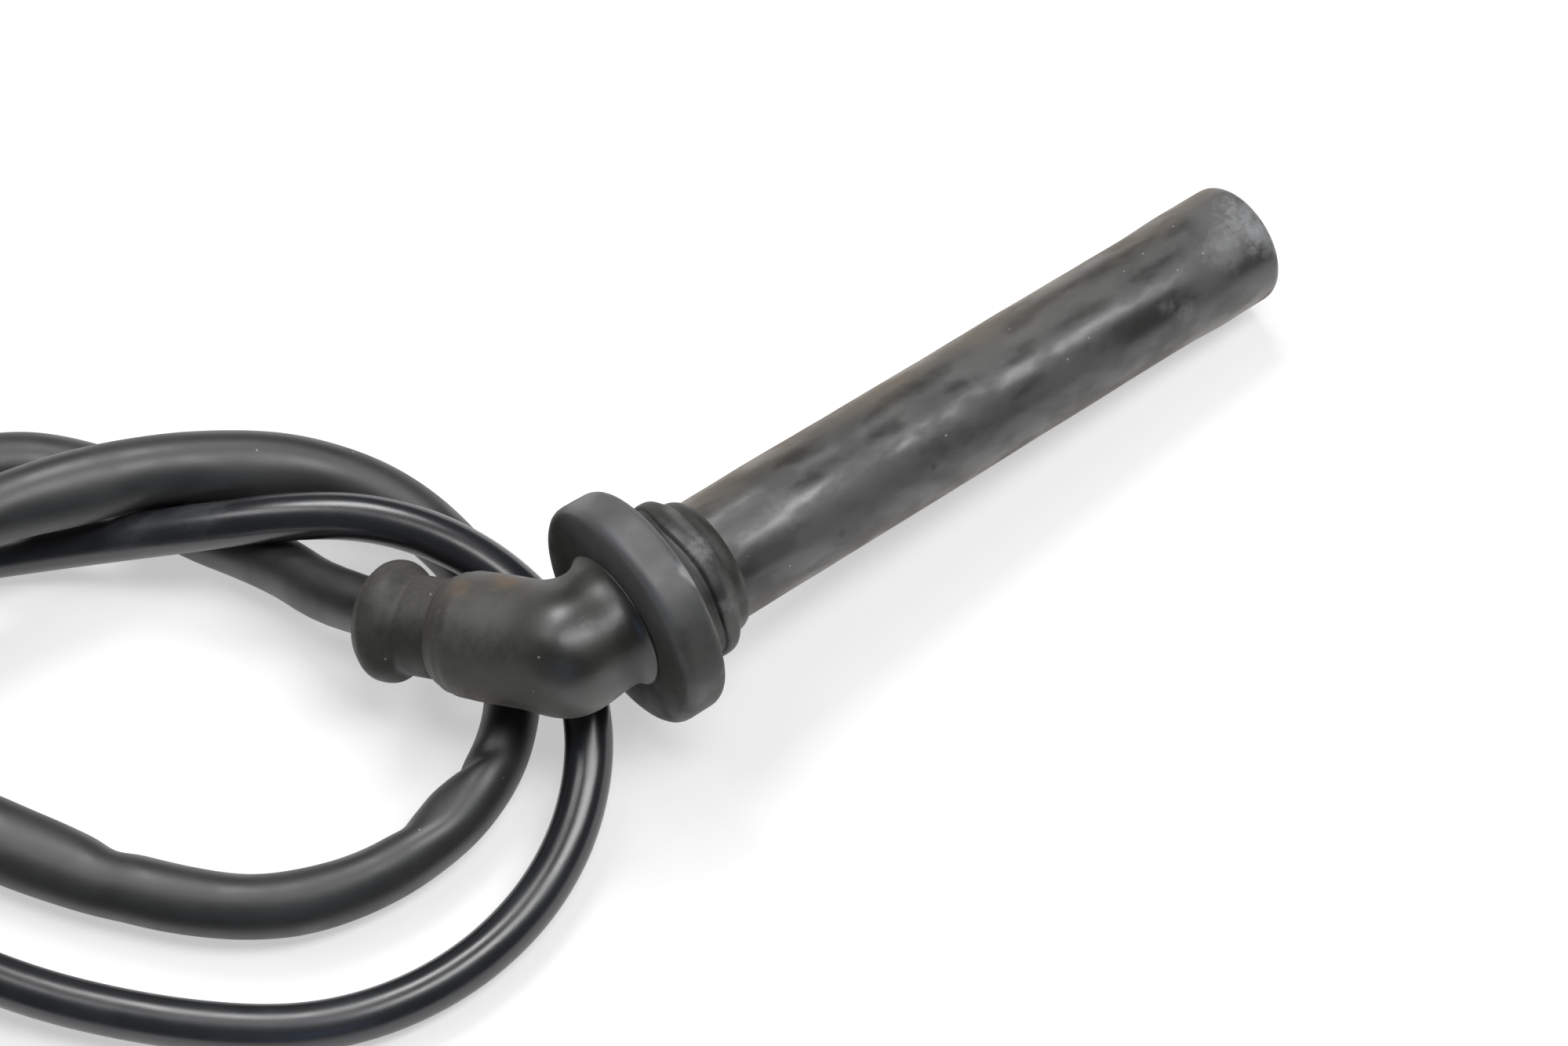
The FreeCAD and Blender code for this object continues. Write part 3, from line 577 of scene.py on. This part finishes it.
def turn_points():
    """Points along the loose turns, eased from each quarter to the next."""
    points = []
    for (place, heading), (next_place, next_heading) in zip(TURN_QUARTERS, TURN_QUARTERS[1:]):
        place, heading = Vector(place), Vector(heading)
        next_place, next_heading = Vector(next_place), Vector(next_heading)
        pull = QUARTER_PULL * (next_place - place).length
        for k in range(POINTS_PER_QUARTER):
            t = k / POINTS_PER_QUARTER
            points.append(
                place * (2 * t ** 3 - 3 * t ** 2 + 1) + heading * pull * (t ** 3 - 2 * t ** 2 + t)
                + next_place * (3 * t ** 2 - 2 * t ** 3) + next_heading * pull * (t ** 3 - t ** 2))
    points.append(Vector(TURN_QUARTERS[-1][0]))
    return points


def make_lead_curve(name, diameter):
    """The lead as one smooth, round curve through its run, its turns and its tail."""
    curve = bpy.data.curves.new(name, "CURVE")
    curve.dimensions = "3D"
    curve.resolution_u = 8
    curve.bevel_depth = diameter / 2
    curve.bevel_resolution = 8
    curve.use_fill_caps = True
    points = [*RUN_POINTS, *turn_points(), *TAIL_POINTS]
    spline = curve.splines.new("NURBS")
    spline.points.add(len(points) - 1)
    for control, point in zip(spline.points, points):
        control.co = (*point, 1.0)
    spline.order_u = 3
    spline.use_endpoint_u = True
    lead = bpy.data.objects.new(name, curve)
    bpy.context.scene.collection.objects.link(lead)
    return lead


def line_of(lead):
    """The points of a curve's own line, in order."""
    curve = lead.data.copy()
    curve.bevel_depth = 0
    holder = bpy.data.objects.new("line", curve)
    bpy.context.scene.collection.objects.link(holder)
    depsgraph = bpy.context.evaluated_depsgraph_get()
    line_mesh = bpy.data.meshes.new_from_object(holder.evaluated_get(depsgraph))
    points = [v.co.copy() for v in line_mesh.vertices]
    bpy.data.objects.remove(holder)
    bpy.data.curves.remove(curve)
    bpy.data.meshes.remove(line_mesh)
    return points


def stretch_of(points, start, end, spacing):
    """Evenly spaced points of a line between two distances along it."""
    out = []
    gone = 0.0
    wanted = start
    for here, there in zip(points, points[1:]):
        length = (there - here).length
        while gone <= wanted <= gone + length and wanted <= end:
            out.append(here.lerp(there, (wanted - gone) / length))
            wanted += spacing
        gone += length
    return out


# Sizes and colours

# What the colour settings share
COLOUR = {"min": 0.0, "max": 1.0, "subtype": "COLOR"}


class LeadSettings(bpy.types.PropertyGroup):
    diameter: bpy.props.FloatProperty(
        name="Lead Diameter", description="Outside diameter of the ignition lead",
        default=0.007, min=0.005, max=0.009, precision=4, unit="LENGTH")
    sleeve_diameter: bpy.props.FloatProperty(
        name="Sleeve Diameter", description="Outside diameter of the loose sleeve where round",
        default=0.0094, min=0.008, max=0.011, precision=4, unit="LENGTH")
    jacket_colour: bpy.props.FloatVectorProperty(
        name="Jacket Colour", description="Colour of the lead's smooth jacket",
        default=(0.016, 0.017, 0.02), **COLOUR)
    sleeve_colour: bpy.props.FloatVectorProperty(
        name="Sleeve Colour", description="Colour of the soft sleeve",
        default=(0.022, 0.0225, 0.022), **COLOUR)


class RubberSettings(bpy.types.PropertyGroup):
    stem_colour: bpy.props.FloatVectorProperty(
        name="Stem Colour", description="Colour of the stem's rubber under its dust",
        default=(0.033, 0.033, 0.0315), **COLOUR)
    seal_colour: bpy.props.FloatVectorProperty(
        name="Seal Colour", description="Colour of the well seal's rubber",
        default=(0.0145, 0.0147, 0.0125), **COLOUR)
    elbow_colour: bpy.props.FloatVectorProperty(
        name="Elbow Colour", description="Colour of the elbow's rubber under its dust",
        default=(0.0135, 0.0132, 0.0112), **COLOUR)
    dust_colour: bpy.props.FloatVectorProperty(
        name="Dust Colour", description="Colour of the brown dust on the rubber",
        default=(0.16, 0.128, 0.09), **COLOUR)


class StageSettings(bpy.types.PropertyGroup):
    floor_colour: bpy.props.FloatVectorProperty(
        name="Floor Colour", description="Colour of the bench and the backdrop",
        default=(0.62, 0.62, 0.62), **COLOUR)
    key_power: bpy.props.FloatProperty(
        name="Key Light", description="Power of the long lamp above; the other lamps follow it",
        default=7.2, min=0.0, max=20.0, unit="POWER")
    surround: bpy.props.FloatProperty(
        name="Surround", description="Brightness of the room round the bench",
        default=0.07, min=0.0, max=2.0, subtype="FACTOR")


# Shapes of the rubber, in millimetres

STEM_BORE = 5.25
STEM_BORE_START = 98.0
CORE_HOLE = 7.0
SEAL_BORE = 9.6
WIRE_SEAL_BORE = 5.2
BORE_MARGIN = 0.1
# The stem is even nearer to the elbow and to its middle than this
STEM_SKIN_START = 1.0
STEM_SKIN_RADIUS = 8.0
# Rings round the stem, its swollen end and a faint groove: place, width and height
STEM_RINGS = ((109.0, 3.5, 0.12), (90.6, 0.5, -0.05))
LIP_PLACE = 11.4
LIP_WIDTH = 2.6
# Waves round the well seal's lip, along the stem and outward: height, count and start
LIP_SWAY = ((0.55, 2, 0.6), (0.3, 5, 2.0))
LIP_RUFFLE = ((0.22, 3, 1.0), (0.12, 7, 0.0))
BEAD_PLACE = 27.8
BEAD_WIDTH = 2.5
BEAD_SWAY = ((0.12, 2, 0.0),)

# The coil boot's skin is even in its hollow, past the lip of its neck
BOOT_HOLLOW = 6.2
BOOT_LIP = 3.0
GRIP_START = 13.0
GRIP_END = 28.0
GRIP_RADIUS = 7.0
GRIP_RIBS = ((0.14, 6, math.pi / 2),)

ELBOW_RADIUS = 9.2
ELBOW_SIDES = 84
ROOT_FLARE = 1.25
ROOT_REACH = 3.4
ROOT_STATIONS = (-0.06, -0.3, -0.6, -0.95, -1.3, -1.7)
BEND_TURN = math.radians(60)
BEND_RADIUS = 11.0
BEND_TANGENT = BEND_RADIUS * math.tan(BEND_TURN / 2)
BEND_STEPS = 18
BEND_FILLET = 1.6
ARM_LENGTH = 18.9
ARM_STEP = 0.45
ARM_STEPS = 28
# Radius of the elbow's arm at distances from the bend: a slow taper, then a rounded shoulder
ARM_PROFILE = (
    (0, ELBOW_RADIUS), (11, ELBOW_RADIUS), (14.8, 9.12), (16.6, 8.75), (17.9, 8.1), (18.6, 7.65),
    (ARM_LENGTH, 7.4),
)
WIRE_SEAT_START = 15.2
WIRE_SEAT_RADIUS = 6.15
# Between these distances from the elbow's middle line its skin is looked for
NEAREST_SKIN = 3.0
FARTHEST_SKIN = 18.0
SEARCH_HALVINGS = 26

MARK_RADIUS = 0.42
MARK_THICKNESS = 0.13
MARK_SIDES = 28
MARK_RIM_SIDES = 10


def hump(offset, width):
    """1 at the middle of a smooth rise, and less with the distance from it."""
    return math.exp(-(offset / width) ** 2)


def waves(table, angle):
    return sum(height * math.sin(count * angle + start) for height, count, start in table)


def between(table, distance):
    """The value at one distance of a table of (distance, value) rows, eased from row to row."""
    for (near, value), (far, next_value) in zip(table, table[1:]):
        if distance <= far:
            share = max(0.0, (distance - near) / (far - near))
            return value + (next_value - value) * (share * share * (3 - 2 * share))
    return table[-1][1]


def stem_push(x, radius, angle):
    """The stem's slight dents, its swollen end and its faint groove."""
    if radius < STEM_SKIN_RADIUS or x < STEM_SKIN_START:
        return 0, 0
    spot = round_point(x, radius, angle)
    out = unevenness(spot, 15.0, 0.09) + unevenness(spot, 5.0, 0.035, 3.0)
    return 0, out + sum(height * hump(x - place, width) for place, width, height in STEM_RINGS)


def seal_push(x, radius, angle):
    """The well seal's wavy lip and the crease in front of it."""
    if radius < SEAL_BORE + BORE_MARGIN:
        return 0, 0
    out = unevenness(round_point(x, radius, angle), 9.0, 0.12, 5.0)
    near_lip = hump(x - LIP_PLACE, LIP_WIDTH)
    return near_lip * waves(LIP_SWAY, angle), out + near_lip * waves(LIP_RUFFLE, angle)


def wire_seal_push(x, radius, angle):
    """The wire seal's uneven skin and its slightly bent bead."""
    if radius < WIRE_SEAL_BORE + BORE_MARGIN:
        return 0, 0
    along = hump(x - BEAD_PLACE, BEAD_WIDTH) * waves(BEAD_SWAY, angle)
    return along, unevenness(round_point(x, radius, angle), 5.0, 0.16, 8.0)


def boot_push(x, radius, angle):
    """The coil boot's uneven skin and the ribs of its grip."""
    if radius < BOOT_HOLLOW and x > BOOT_LIP:
        return 0, 0
    grip = waves(GRIP_RIBS, angle) if GRIP_START < x < GRIP_END and radius > GRIP_RADIUS else 0
    return 0, unevenness(round_point(x, radius, angle), 6.0, 0.1, 11.0) + grip


def blended(first, second):
    """The nearer of two distances, with a fillet where they meet."""
    share = max(BEND_FILLET - abs(first - second), 0.0) / BEND_FILLET
    return min(first, second) - share * share * BEND_FILLET / 4


def elbow_distance(point):
    """Roughly how far a place is outside the elbow: its stub, its arm and its round corner."""
    flare = ROOT_FLARE * max(0.0, 1 + point.x / ROOT_REACH) ** 3
    stub = max(math.hypot(point.y, point.z) - ELBOW_RADIUS - flare, BEND_POINT.x - point.x)
    from_bend = point - BEND_POINT
    along = from_bend.dot(ARM_DIRECTION)
    arm = max((from_bend - ARM_DIRECTION * along).length - between(ARM_PROFILE, along), -along)
    corner = from_bend.length - ELBOW_RADIUS
    return blended(min(stub, corner), min(arm, corner))


def elbow_reach(centre, outward):
    """How far the elbow's skin is from a place inside it, in one direction."""
    near, far = NEAREST_SKIN, FARTHEST_SKIN
    for _ in range(SEARCH_HALVINGS):
        middle = (near + far) / 2
        if elbow_distance(centre + outward * middle) < 0:
            near = middle
        else:
            far = middle
    return near


def elbow_stations():
    """Places along the elbow's middle line with the direction there."""
    stations = [(Vector((x, 0, 0)), Vector((-1, 0, 0))) for x in ROOT_STATIONS]
    centre = Vector((BEND_POINT.x + BEND_TANGENT, BEND_RADIUS, 0))
    for k in range(BEND_STEPS + 1):
        turn = BEND_TURN * k / BEND_STEPS
        out = Vector((-math.sin(turn), -math.cos(turn), 0))
        stations.append((centre + out * BEND_RADIUS, Vector((-math.cos(turn), math.sin(turn), 0))))
    for k in range(1, ARM_STEPS + 1):
        distance = min(BEND_TANGENT + ARM_STEP * k, ARM_LENGTH)
        stations.append((BEND_POINT + ARM_DIRECTION * distance, ARM_DIRECTION))
    return stations


def make_elbow():
    """The elbow's skin, and inside it the hole for its core and the seat of the wire seal."""
    outer = []
    inner = []
    stations = elbow_stations()
    for i, (centre, ahead) in enumerate(stations):
        across = ahead.cross(UP)
        along = (centre - BEND_POINT).dot(ARM_DIRECTION)
        hole_radius = WIRE_SEAT_RADIUS if along > WIRE_SEAT_START else CORE_HOLE
        ring = []
        hole = []
        for angle in round_steps(ELBOW_SIDES):
            outward = across * math.cos(angle) + UP * math.sin(angle)
            reach = elbow_reach(centre, outward)
            # Both ends stay even where they meet their neighbours
            if 1 < i < len(stations) - 2:
                spot = centre + outward * reach
                reach += unevenness(spot, 9.0, 0.14, 2.0) + unevenness(spot, 2.6, 0.03, 4.0)
            ring.append(centre + outward * reach)
            hole.append(centre + outward * hole_radius)
        outer.append(ring)
        inner.append(hole)
    return skin("elbow_cover_rubber", outer + inner[::-1], CAP)


def make_mould_mark(centre, normal):
    """A small raised ring left by the mould."""
    side = normal.orthogonal().normalized()
    other = normal.cross(side)
    rings = []
    for angle in round_steps(MARK_SIDES):
        out = side * math.cos(angle) + other * math.sin(angle)
        rings.append([
            centre + out * (MARK_RADIUS + MARK_THICKNESS * math.cos(turn))
            + normal * MARK_THICKNESS * math.sin(turn) for turn in round_steps(MARK_RIM_SIDES)])
    return skin("mould_mark", rings, CAP)


def sleeve_push(distance, angle):
    """How far the sleeve's kinks and folds push its skin out."""
    total = 0.0
    for along, round_angle, slant, length, spread, height in SLEEVE_KINKS:
        turn = (angle - round_angle + 180) % 360 - 180
        total += height * hump(distance - along + slant * turn / 90, length) * hump(turn, spread)
    return total


def make_sleeve(path, reach, spacing):
    """The soft sleeve: an outer and an inner skin round the lead, flattened and kinked."""
    outer = []
    inner = []
    for i, point in enumerate(path):
        ahead = (path[min(i + 1, len(path) - 1)] - path[max(i - 1, 0)]).normalized()
        side = ahead.cross(UP).normalized()
        upright = side.cross(ahead)
        distance = i * spacing
        wide = reach * between(SLEEVE_WIDTHS, distance)
        high = min(2 * reach - wide, SLEEVE_RISE * reach)
        ring = []
        hole = []
        for k in range(SLEEVE_SIDES):
            angle = 360 * k / SLEEVE_SIDES
            across, up = math.cos(math.radians(angle)), math.sin(math.radians(angle))
            spot = point + (side * across * wide + upright * up * high) * MM
            push = sleeve_push(distance, angle) + unevenness(spot, 0.012, 0.12, 1.0)
            out = side * across * (wide + push) + upright * up * (high + push)
            if out.length < LEAD_CLEARANCE:
                out *= LEAD_CLEARANCE / out.length
            ring.append(point + out * MM)
            hole.append(point + out * (MM * (1 - SLEEVE_WALL / out.length)))
        outer.append(ring)
        inner.append(hole)
    return skin("loose_sleeve", outer + inner[::-1])


# Builders

class CAP_OT_stem(bpy.types.Operator):
    """Build the long rubber stem with its swollen mouth"""
    bl_idname = "cap_lead.stem"
    bl_label = "Stem"

    def execute(self, context):
        settings = context.scene.cap_rubber
        stem = turned_piece("stem_rubber_boot", [
            (-1.5, CORE_HOLE, 0.1), (-1.5, 9.0, 0.2), (-0.1, 9.5, 0.2), (104, 9.5, 6.0),
            (113, 9.75, 4.0), (STEM_LENGTH, 9.75, 1.5), (STEM_LENGTH, STEM_BORE, 0.9),
            (STEM_BORE_START, STEM_BORE, 0.2), (STEM_BORE_START, CORE_HOLE, 0.1)],
            CAP, sides=120, step=1.2, push=stem_push)
        pale, dark = (0.3, 0.305, 0.31), (0.012, 0.012, 0.012)
        fleck_patches = (
            ((-0.0018, -0.001, 0.0096), 0.0085, pale, 0.6),
            ((-0.001, -0.005, 0.0082), 0.006, pale, 0.6),
            ((-0.0085, -0.004, 0.01), 0.007, pale, 0.3),
            ((-0.0191, -0.0081, 0.007), 0.0042, pale, 0.3),
            ((-0.0215, -0.006, 0.009), 0.003, pale, 0.25),
            # A faint pale patch on the highlight line: painted highlight over a little dust
            ((-0.0918, -0.0032, 0.0191), 0.006, pale, 0.2),
        )
        spots = (
            ((-0.004, -0.0005, 0.01), 0.0095, (0.125, 0.127, 0.128), 0.6),
            ((-0.0854, -0.0087, 0.0133), 0.0009, dark, 0.75),
            ((-0.0679, -0.0079, 0.0128), 0.0008, dark, 0.75),
        )
        rubber = rubber_material(
            "Stem Rubber", settings.stem_colour, 2.3, settings.dust_colour, dust_cover=0.7,
            roughness=0.33, dust_roughness=0.48, rubbed=((0.0, -0.85, 0.53), 0.0095, 0.9),
            spots=spots, fleck_patches=fleck_patches, smears=(200.0, 0.24), specks=0.25,
            grain=(1500.0, 0.14, 0.75), stretch=1.8, gloss=1.0)
        give(stem, rubber, "cap", "stem_rubber", "stem_boot")
        return {"FINISHED"}


class CAP_OT_seals(bpy.types.Operator):
    """Build the well seal and the wire seal"""
    bl_idname = "cap_lead.seals"
    bl_label = "Seals"

    def execute(self, context):
        settings = context.scene.cap_rubber
        well = turned_piece("well_seal_rubber", [
            (0.0, SEAL_BORE, 0.1), (0.0, 13.5, 2.0), (0.25, 17.4, 1.7), (6.75, 17.4, 1.3),
            (7.1, 14.2, 1.6), (8.8, 11.9, 1.2), (10.3, 11.4, 0.5), (10.6, 12.3, 0.7),
            (12.3, 12.3, 1.2), (13.9, 11.0, 0.8), (14.2, 10.6, 0.3), (15.7, 10.4, 0.6),
            (16.5, 9.95, 0.4), (16.5, SEAL_BORE, 0.1)],
            CAP, sides=144, step=0.5, push=seal_push)
        painted_sheen, streak, fleck_tone = (0.125, 0.127, 0.13), (0.4, 0.4, 0.4), (0.36, 0.36, 0.36)
        spots = (
            # The two broad pale spots on the rim's top are painted sheen over a little dust
            ((-0.114, -0.004, 0.03), 0.015, painted_sheen, 0.75),
            ((-0.1165, 0.007, 0.0285), 0.012, painted_sheen, 0.7),
            ((-0.1112, -0.0065, 0.0285), 0.0014, streak, 0.9),
            ((-0.1109, -0.0073, 0.028), 0.0014, streak, 0.9),
            ((-0.1106, -0.0081, 0.0275), 0.0014, streak, 0.9),
        )
        fleck_patches = (
            ((-0.1105, -0.0067, 0.0284), 0.005, (0.2, 0.205, 0.21), 0.5),
            ((-0.1055, -0.0027, 0.0234), 0.005, fleck_tone, 0.45),
            ((-0.1072, -0.0104, 0.0187), 0.003, fleck_tone, 0.3),
        )
        rubber = rubber_material(
            "Well Seal Rubber", settings.seal_colour, 1.35, (0.085, 0.08, 0.07), dust_cover=0.25,
            roughness=0.45, dust_roughness=0.6, patch_scale=80.0, spots=spots, fleck_patches=fleck_patches,
            specks=0.07, grain=(2600.0, 0.1, 0.4), sheen=0.05, gloss=0.75)
        give(well, rubber, "well_seal_ring", "seal_rubber", "well_seal")
        wire = turned_piece("wire_seal_rubber", [
            (15.9, WIRE_SEAL_BORE, 0.1), (15.9, 5.95, 0.3), (18.95, 5.95, 0.05),
            (18.95, 7.25, 0.15), (22.8, 7.3, 1.5), (24.2, 7.15, 0.6), (25.6, 8.5, 1.2),
            (27.0, 8.9, 1.6), (28.9, 8.75, 1.5), (30.2, 7.5, 0.9), (30.5, 7.2, 0.2),
            (30.4, 6.8, 0.3), (24.6, 5.9, 0.8)],
            ARM, sides=96, step=0.45, push=wire_seal_push)
        rubber = rubber_material(
            "Wire Seal Rubber", settings.seal_colour, 1.6, (0.08, 0.077, 0.067), dust_cover=0.6,
            roughness=0.42, dust_roughness=0.6, patch_scale=90.0, grain=(2400.0, 0.15, 0.5),
            sheen=0.06, gloss=0.5)
        give(wire, rubber, "wire_seal_ring", "elbow_rubber", "wire_seal")
        return {"FINISHED"}


class CAP_OT_elbow(bpy.types.Operator):
    """Build the rubber elbow and its mould mark"""
    bl_idname = "cap_lead.elbow"
    bl_label = "Elbow"

    def execute(self, context):
        settings = context.scene.cap_rubber
        rust = (0.17, 0.1, 0.055)
        fleck_patches = (
            ((-0.1292, 0.0128, 0.019), 0.0055, rust, 0.75),
            ((-0.1345, 0.015, 0.0185), 0.0045, rust, 0.5),
            ((-0.14, 0.003, 0.009), 0.007, rust, 0.5),
            # Pale flecks at the bend's gloss: painted highlight over fine crazing
            ((-0.1255, -0.0036, 0.0248), 0.0045, (0.3, 0.3, 0.3), 0.3),
        )
        clean = (((-0.1245, -0.004, 0.0235), 0.015), ((-0.1175, -0.006, 0.0155), 0.014))
        rubber = rubber_material(
            "Elbow Rubber", settings.elbow_colour, 1.7, (0.068, 0.065, 0.054), dust_cover=0.66,
            roughness=0.35, dust_roughness=0.58, patch_scale=62.0, clean=clean, fleck_patches=fleck_patches,
            smears=(140.0, 0.08), specks=0.1, grain=(1900.0, 0.14, 0.3), sheen=0.06, gloss=1.0)
        give(make_elbow(), rubber, "cap", "elbow_rubber", "elbow_cover")
        normal = Vector((-5.77, -8.33, 0.77)).normalized()
        mark = make_mould_mark(BEND_POINT + normal * ELBOW_RADIUS, normal)
        give(mark, rubber, "cap", "elbow_rubber")
        return {"FINISHED"}


class CAP_OT_inner_parts(bpy.types.Operator):
    """Finish the insulators, contacts and terminals inside the cap"""
    bl_idname = "cap_lead.inner_parts"
    bl_label = "Inner Parts"

    def execute(self, context):
        brass = metal_material("Turned Brass", (0.72, 0.53, 0.24), 0.3)
        spring = metal_material("Spring Steel", (0.5, 0.5, 0.52), 0.28, brushed=(1.0, 0.3, 0.3))
        plated = metal_material("Plated Steel", (0.62, 0.62, 0.6), 0.25)
        copper = metal_material("Stranded Copper", (0.78, 0.4, 0.25), 0.34, brushed=(0.2, 1.0, 1.0))
        insulator = moulded_material("Moulded Insulator", (0.03, 0.028, 0.026), 0.35,
                                     (0.055, 0.045, 0.035))
        ceramic = moulded_material("Resistor Ceramic", (0.68, 0.62, 0.52), 0.55, (0.5, 0.45, 0.38))
        finishes = {
            brass: ("plug_socket", "retainer_screw", "contact_rod", "coil_terminal"),
            spring: ("socket_clip", "contact_spring"),
            plated: ("resistor_cap_front", "resistor_cap_rear"),
            copper: ("conductor_cap_end", "conductor_coil_end"),
            insulator: ("core_tube", "elbow_core"),
            ceramic: ("resistor_body",),
        }
        for material, names in finishes.items():
            for name in names:
                for slot in NODES[name].material_slots:
                    slot.material = material
        return {"FINISHED"}


class LEAD_OT_boot(bpy.types.Operator):
    """Build the rubber boot on the lead's far end"""
    bl_idname = "cap_lead.boot"
    bl_label = "Coil Boot"

    def execute(self, context):
        settings = context.scene.cap_rubber
        across = BOOT_DIRECTION.cross(UP).normalized()
        turn = turned_to(BOOT_DIRECTION, UP, across)
        place = Matrix.Translation(BOOT_NECK) @ turn @ Matrix.Scale(MM, 4)
        boot = turned_piece("coil_boot_rubber", [
            (0, 3.75, 0.2), (0, 5.3, 0.7), (2.0, 5.6, 0.6), (9.0, 5.6, 1.5), (12.2, 7.8, 1.6),
            (30.2, 7.8, 0.6), (31.0, 8.35, 0.6), (34.0, 8.35, 0.8), (34.0, 6.0, 0.5),
            (15.0, 6.0, 0.6), (15.0, 3.75, 0.3)], place, sides=96, step=0.9, push=boot_push)
        rubber = rubber_material(
            "Coil Boot Rubber", settings.seal_colour, 1.4, (0.08, 0.075, 0.062), dust_cover=0.3,
            roughness=0.42, dust_roughness=0.55, patch_scale=80.0)
        give(boot, rubber, "cap", "seal_rubber", "coil_boot")
        return {"FINISHED"}


class LEAD_OT_build(bpy.types.Operator):
    """Build the ignition lead with its loose sleeve"""
    bl_idname = "cap_lead.lead"
    bl_label = "Lead and Sleeve"

    def execute(self, context):
        settings = context.scene.cap_lead
        lead = make_lead_curve("ignition_lead", settings.diameter)
        give(lead, jacket_material("Lead Jacket", settings.jacket_colour, 0.29, LEAD_SCUFFS), "cap",
             "lead_jacket", "lead_run", "lead_coil", "lead_tail")
        line = line_of(lead)
        path = stretch_of(line, SLEEVE_START, SLEEVE_START + SLEEVE_LENGTH, SLEEVE_STEP)
        sleeve = make_sleeve(path, settings.sleeve_diameter / 2 / MM, SLEEVE_STEP / MM)
        vinyl = rubber_material(
            "Sleeve Vinyl", settings.sleeve_colour, 1.3, (0.075, 0.074, 0.07), dust_cover=0.12,
            roughness=0.43, dust_roughness=0.46, patch_scale=60.0, smears=(120.0, 0.08),
            specks=0.04, grain=(1700.0, 0.04, 0.35), sheen=0.05, gloss=1.0)
        give(sleeve, vinyl, "cap", "sleeve_vinyl", "sleeve_run", "sleeve_coil")
        return {"FINISHED"}


class LEAD_OT_stage(bpy.types.Operator):
    """Set up the bench, the lamps and the camera"""
    bl_idname = "cap_lead.stage"
    bl_label = "Bench and Camera"

    def execute(self, context):
        settings = context.scene.cap_stage
        bpy.ops.mesh.primitive_plane_add(size=4.0, location=(-0.12, 0.03, FLOOR_HEIGHT))
        floor = context.object
        floor.name = "bench"
        material, tree, shader, place = start_material("Pale Bench", 0.8, 0.2)
        mottle = noise_node(tree, 8.0, 3.0, 0.5, place)
        colour = settings.floor_colour
        base = mix_colour(tree, mottle, shade(colour), shade(colour, 0.985))
        rays = new_node(tree, "ShaderNodeLightPath").outputs
        seen = math_node(tree, "MAXIMUM", rays["Is Camera Ray"], rays["Is Glossy Ray"])
        seen = math_node(tree, "MAXIMUM", seen, rays["Is Transmission Ray"])
        fill(tree, shader, Base_Color=base, Emission_Color=(1, 1, 1, 1),
             Emission_Strength=times(tree, seen, BACKDROP_GLOW))
        floor.data.materials.append(material)

        world = bpy.data.worlds.new("Room")
        context.scene.world = world
        world.use_nodes = True
        fill(world.node_tree, world.node_tree.nodes["Background"],
             Color=(0.95, 0.97, 1.0, 1.0), Strength=settings.surround)

        for name, (away, lengthwise, (length, width), share, colour) in LAMPS.items():
            lamp = bpy.data.lights.new(name, "AREA")
            lamp.shape = "RECTANGLE"
            lamp.size = length
            lamp.size_y = width
            lamp.energy = settings.key_power * share
            lamp.color = colour
            holder = bpy.data.objects.new(name, lamp)
            behind = Vector(away).normalized()
            across = behind.cross(Vector(lengthwise)).normalized()
            turn = turned_to(across.cross(behind), across, behind)
            holder.matrix_world = Matrix.Translation(LAMP_AIM + Vector(away)) @ turn
            context.scene.collection.objects.link(holder)

        camera_data = bpy.data.cameras.new("Camera")
        camera_data.lens = CAMERA_LENS
        camera_data.sensor_width = SENSOR_WIDTH
        camera_data.clip_start = 0.01
        camera = bpy.data.objects.new("Camera", camera_data)
        right, view = Vector(CAMERA_RIGHT).normalized(), Vector(CAMERA_VIEW).normalized()
        turn = turned_to(right, right.cross(view), -view)
        camera.matrix_world = Matrix.Translation(CAMERA_PLACE) @ turn
        context.scene.collection.objects.link(camera)
        context.scene.camera = camera
        context.scene.view_settings.view_transform = "Standard"
        return {"FINISHED"}


class LEAD_PT_panel(bpy.types.Panel):
    """The pieces of the cap and its lead"""
    bl_idname = "LEAD_PT_panel"
    bl_label = "Cap and Lead"
    bl_space_type = "VIEW_3D"
    bl_region_type = "UI"
    bl_category = "Cap and Lead"

    def draw(self, context):
        scene = context.scene
        for settings in (scene.cap_lead, scene.cap_rubber, scene.cap_stage):
            box = self.layout.box()
            for name in settings.bl_rna.properties.keys():
                if name not in ("rna_type", "name"):
                    box.prop(settings, name)
        for operator in BUILDERS:
            self.layout.operator(operator.bl_idname)


BUILDERS = (CAP_OT_stem, CAP_OT_elbow, CAP_OT_seals, CAP_OT_inner_parts,
            LEAD_OT_boot, LEAD_OT_build, LEAD_OT_stage)
SETTINGS = (("cap_lead", LeadSettings), ("cap_rubber", RubberSettings),
            ("cap_stage", StageSettings))


def register():
    for name, settings in SETTINGS:
        bpy.utils.register_class(settings)
        setattr(bpy.types.Scene, name, bpy.props.PointerProperty(type=settings))
    for builder in BUILDERS:
        bpy.utils.register_class(builder)
    bpy.utils.register_class(LEAD_PT_panel)


def unregister():
    bpy.utils.unregister_class(LEAD_PT_panel)
    for builder in reversed(BUILDERS):
        bpy.utils.unregister_class(builder)
    for name, settings in reversed(SETTINGS):
        delattr(bpy.types.Scene, name)
        bpy.utils.unregister_class(settings)


def main():
    register()
    bpy.ops.cap_lead.stem()
    bpy.ops.cap_lead.elbow()
    bpy.ops.cap_lead.seals()
    bpy.ops.cap_lead.inner_parts()
    bpy.ops.cap_lead.boot()
    bpy.ops.cap_lead.lead()
    bpy.ops.cap_lead.stage()


if __name__ == "__main__":
    main()
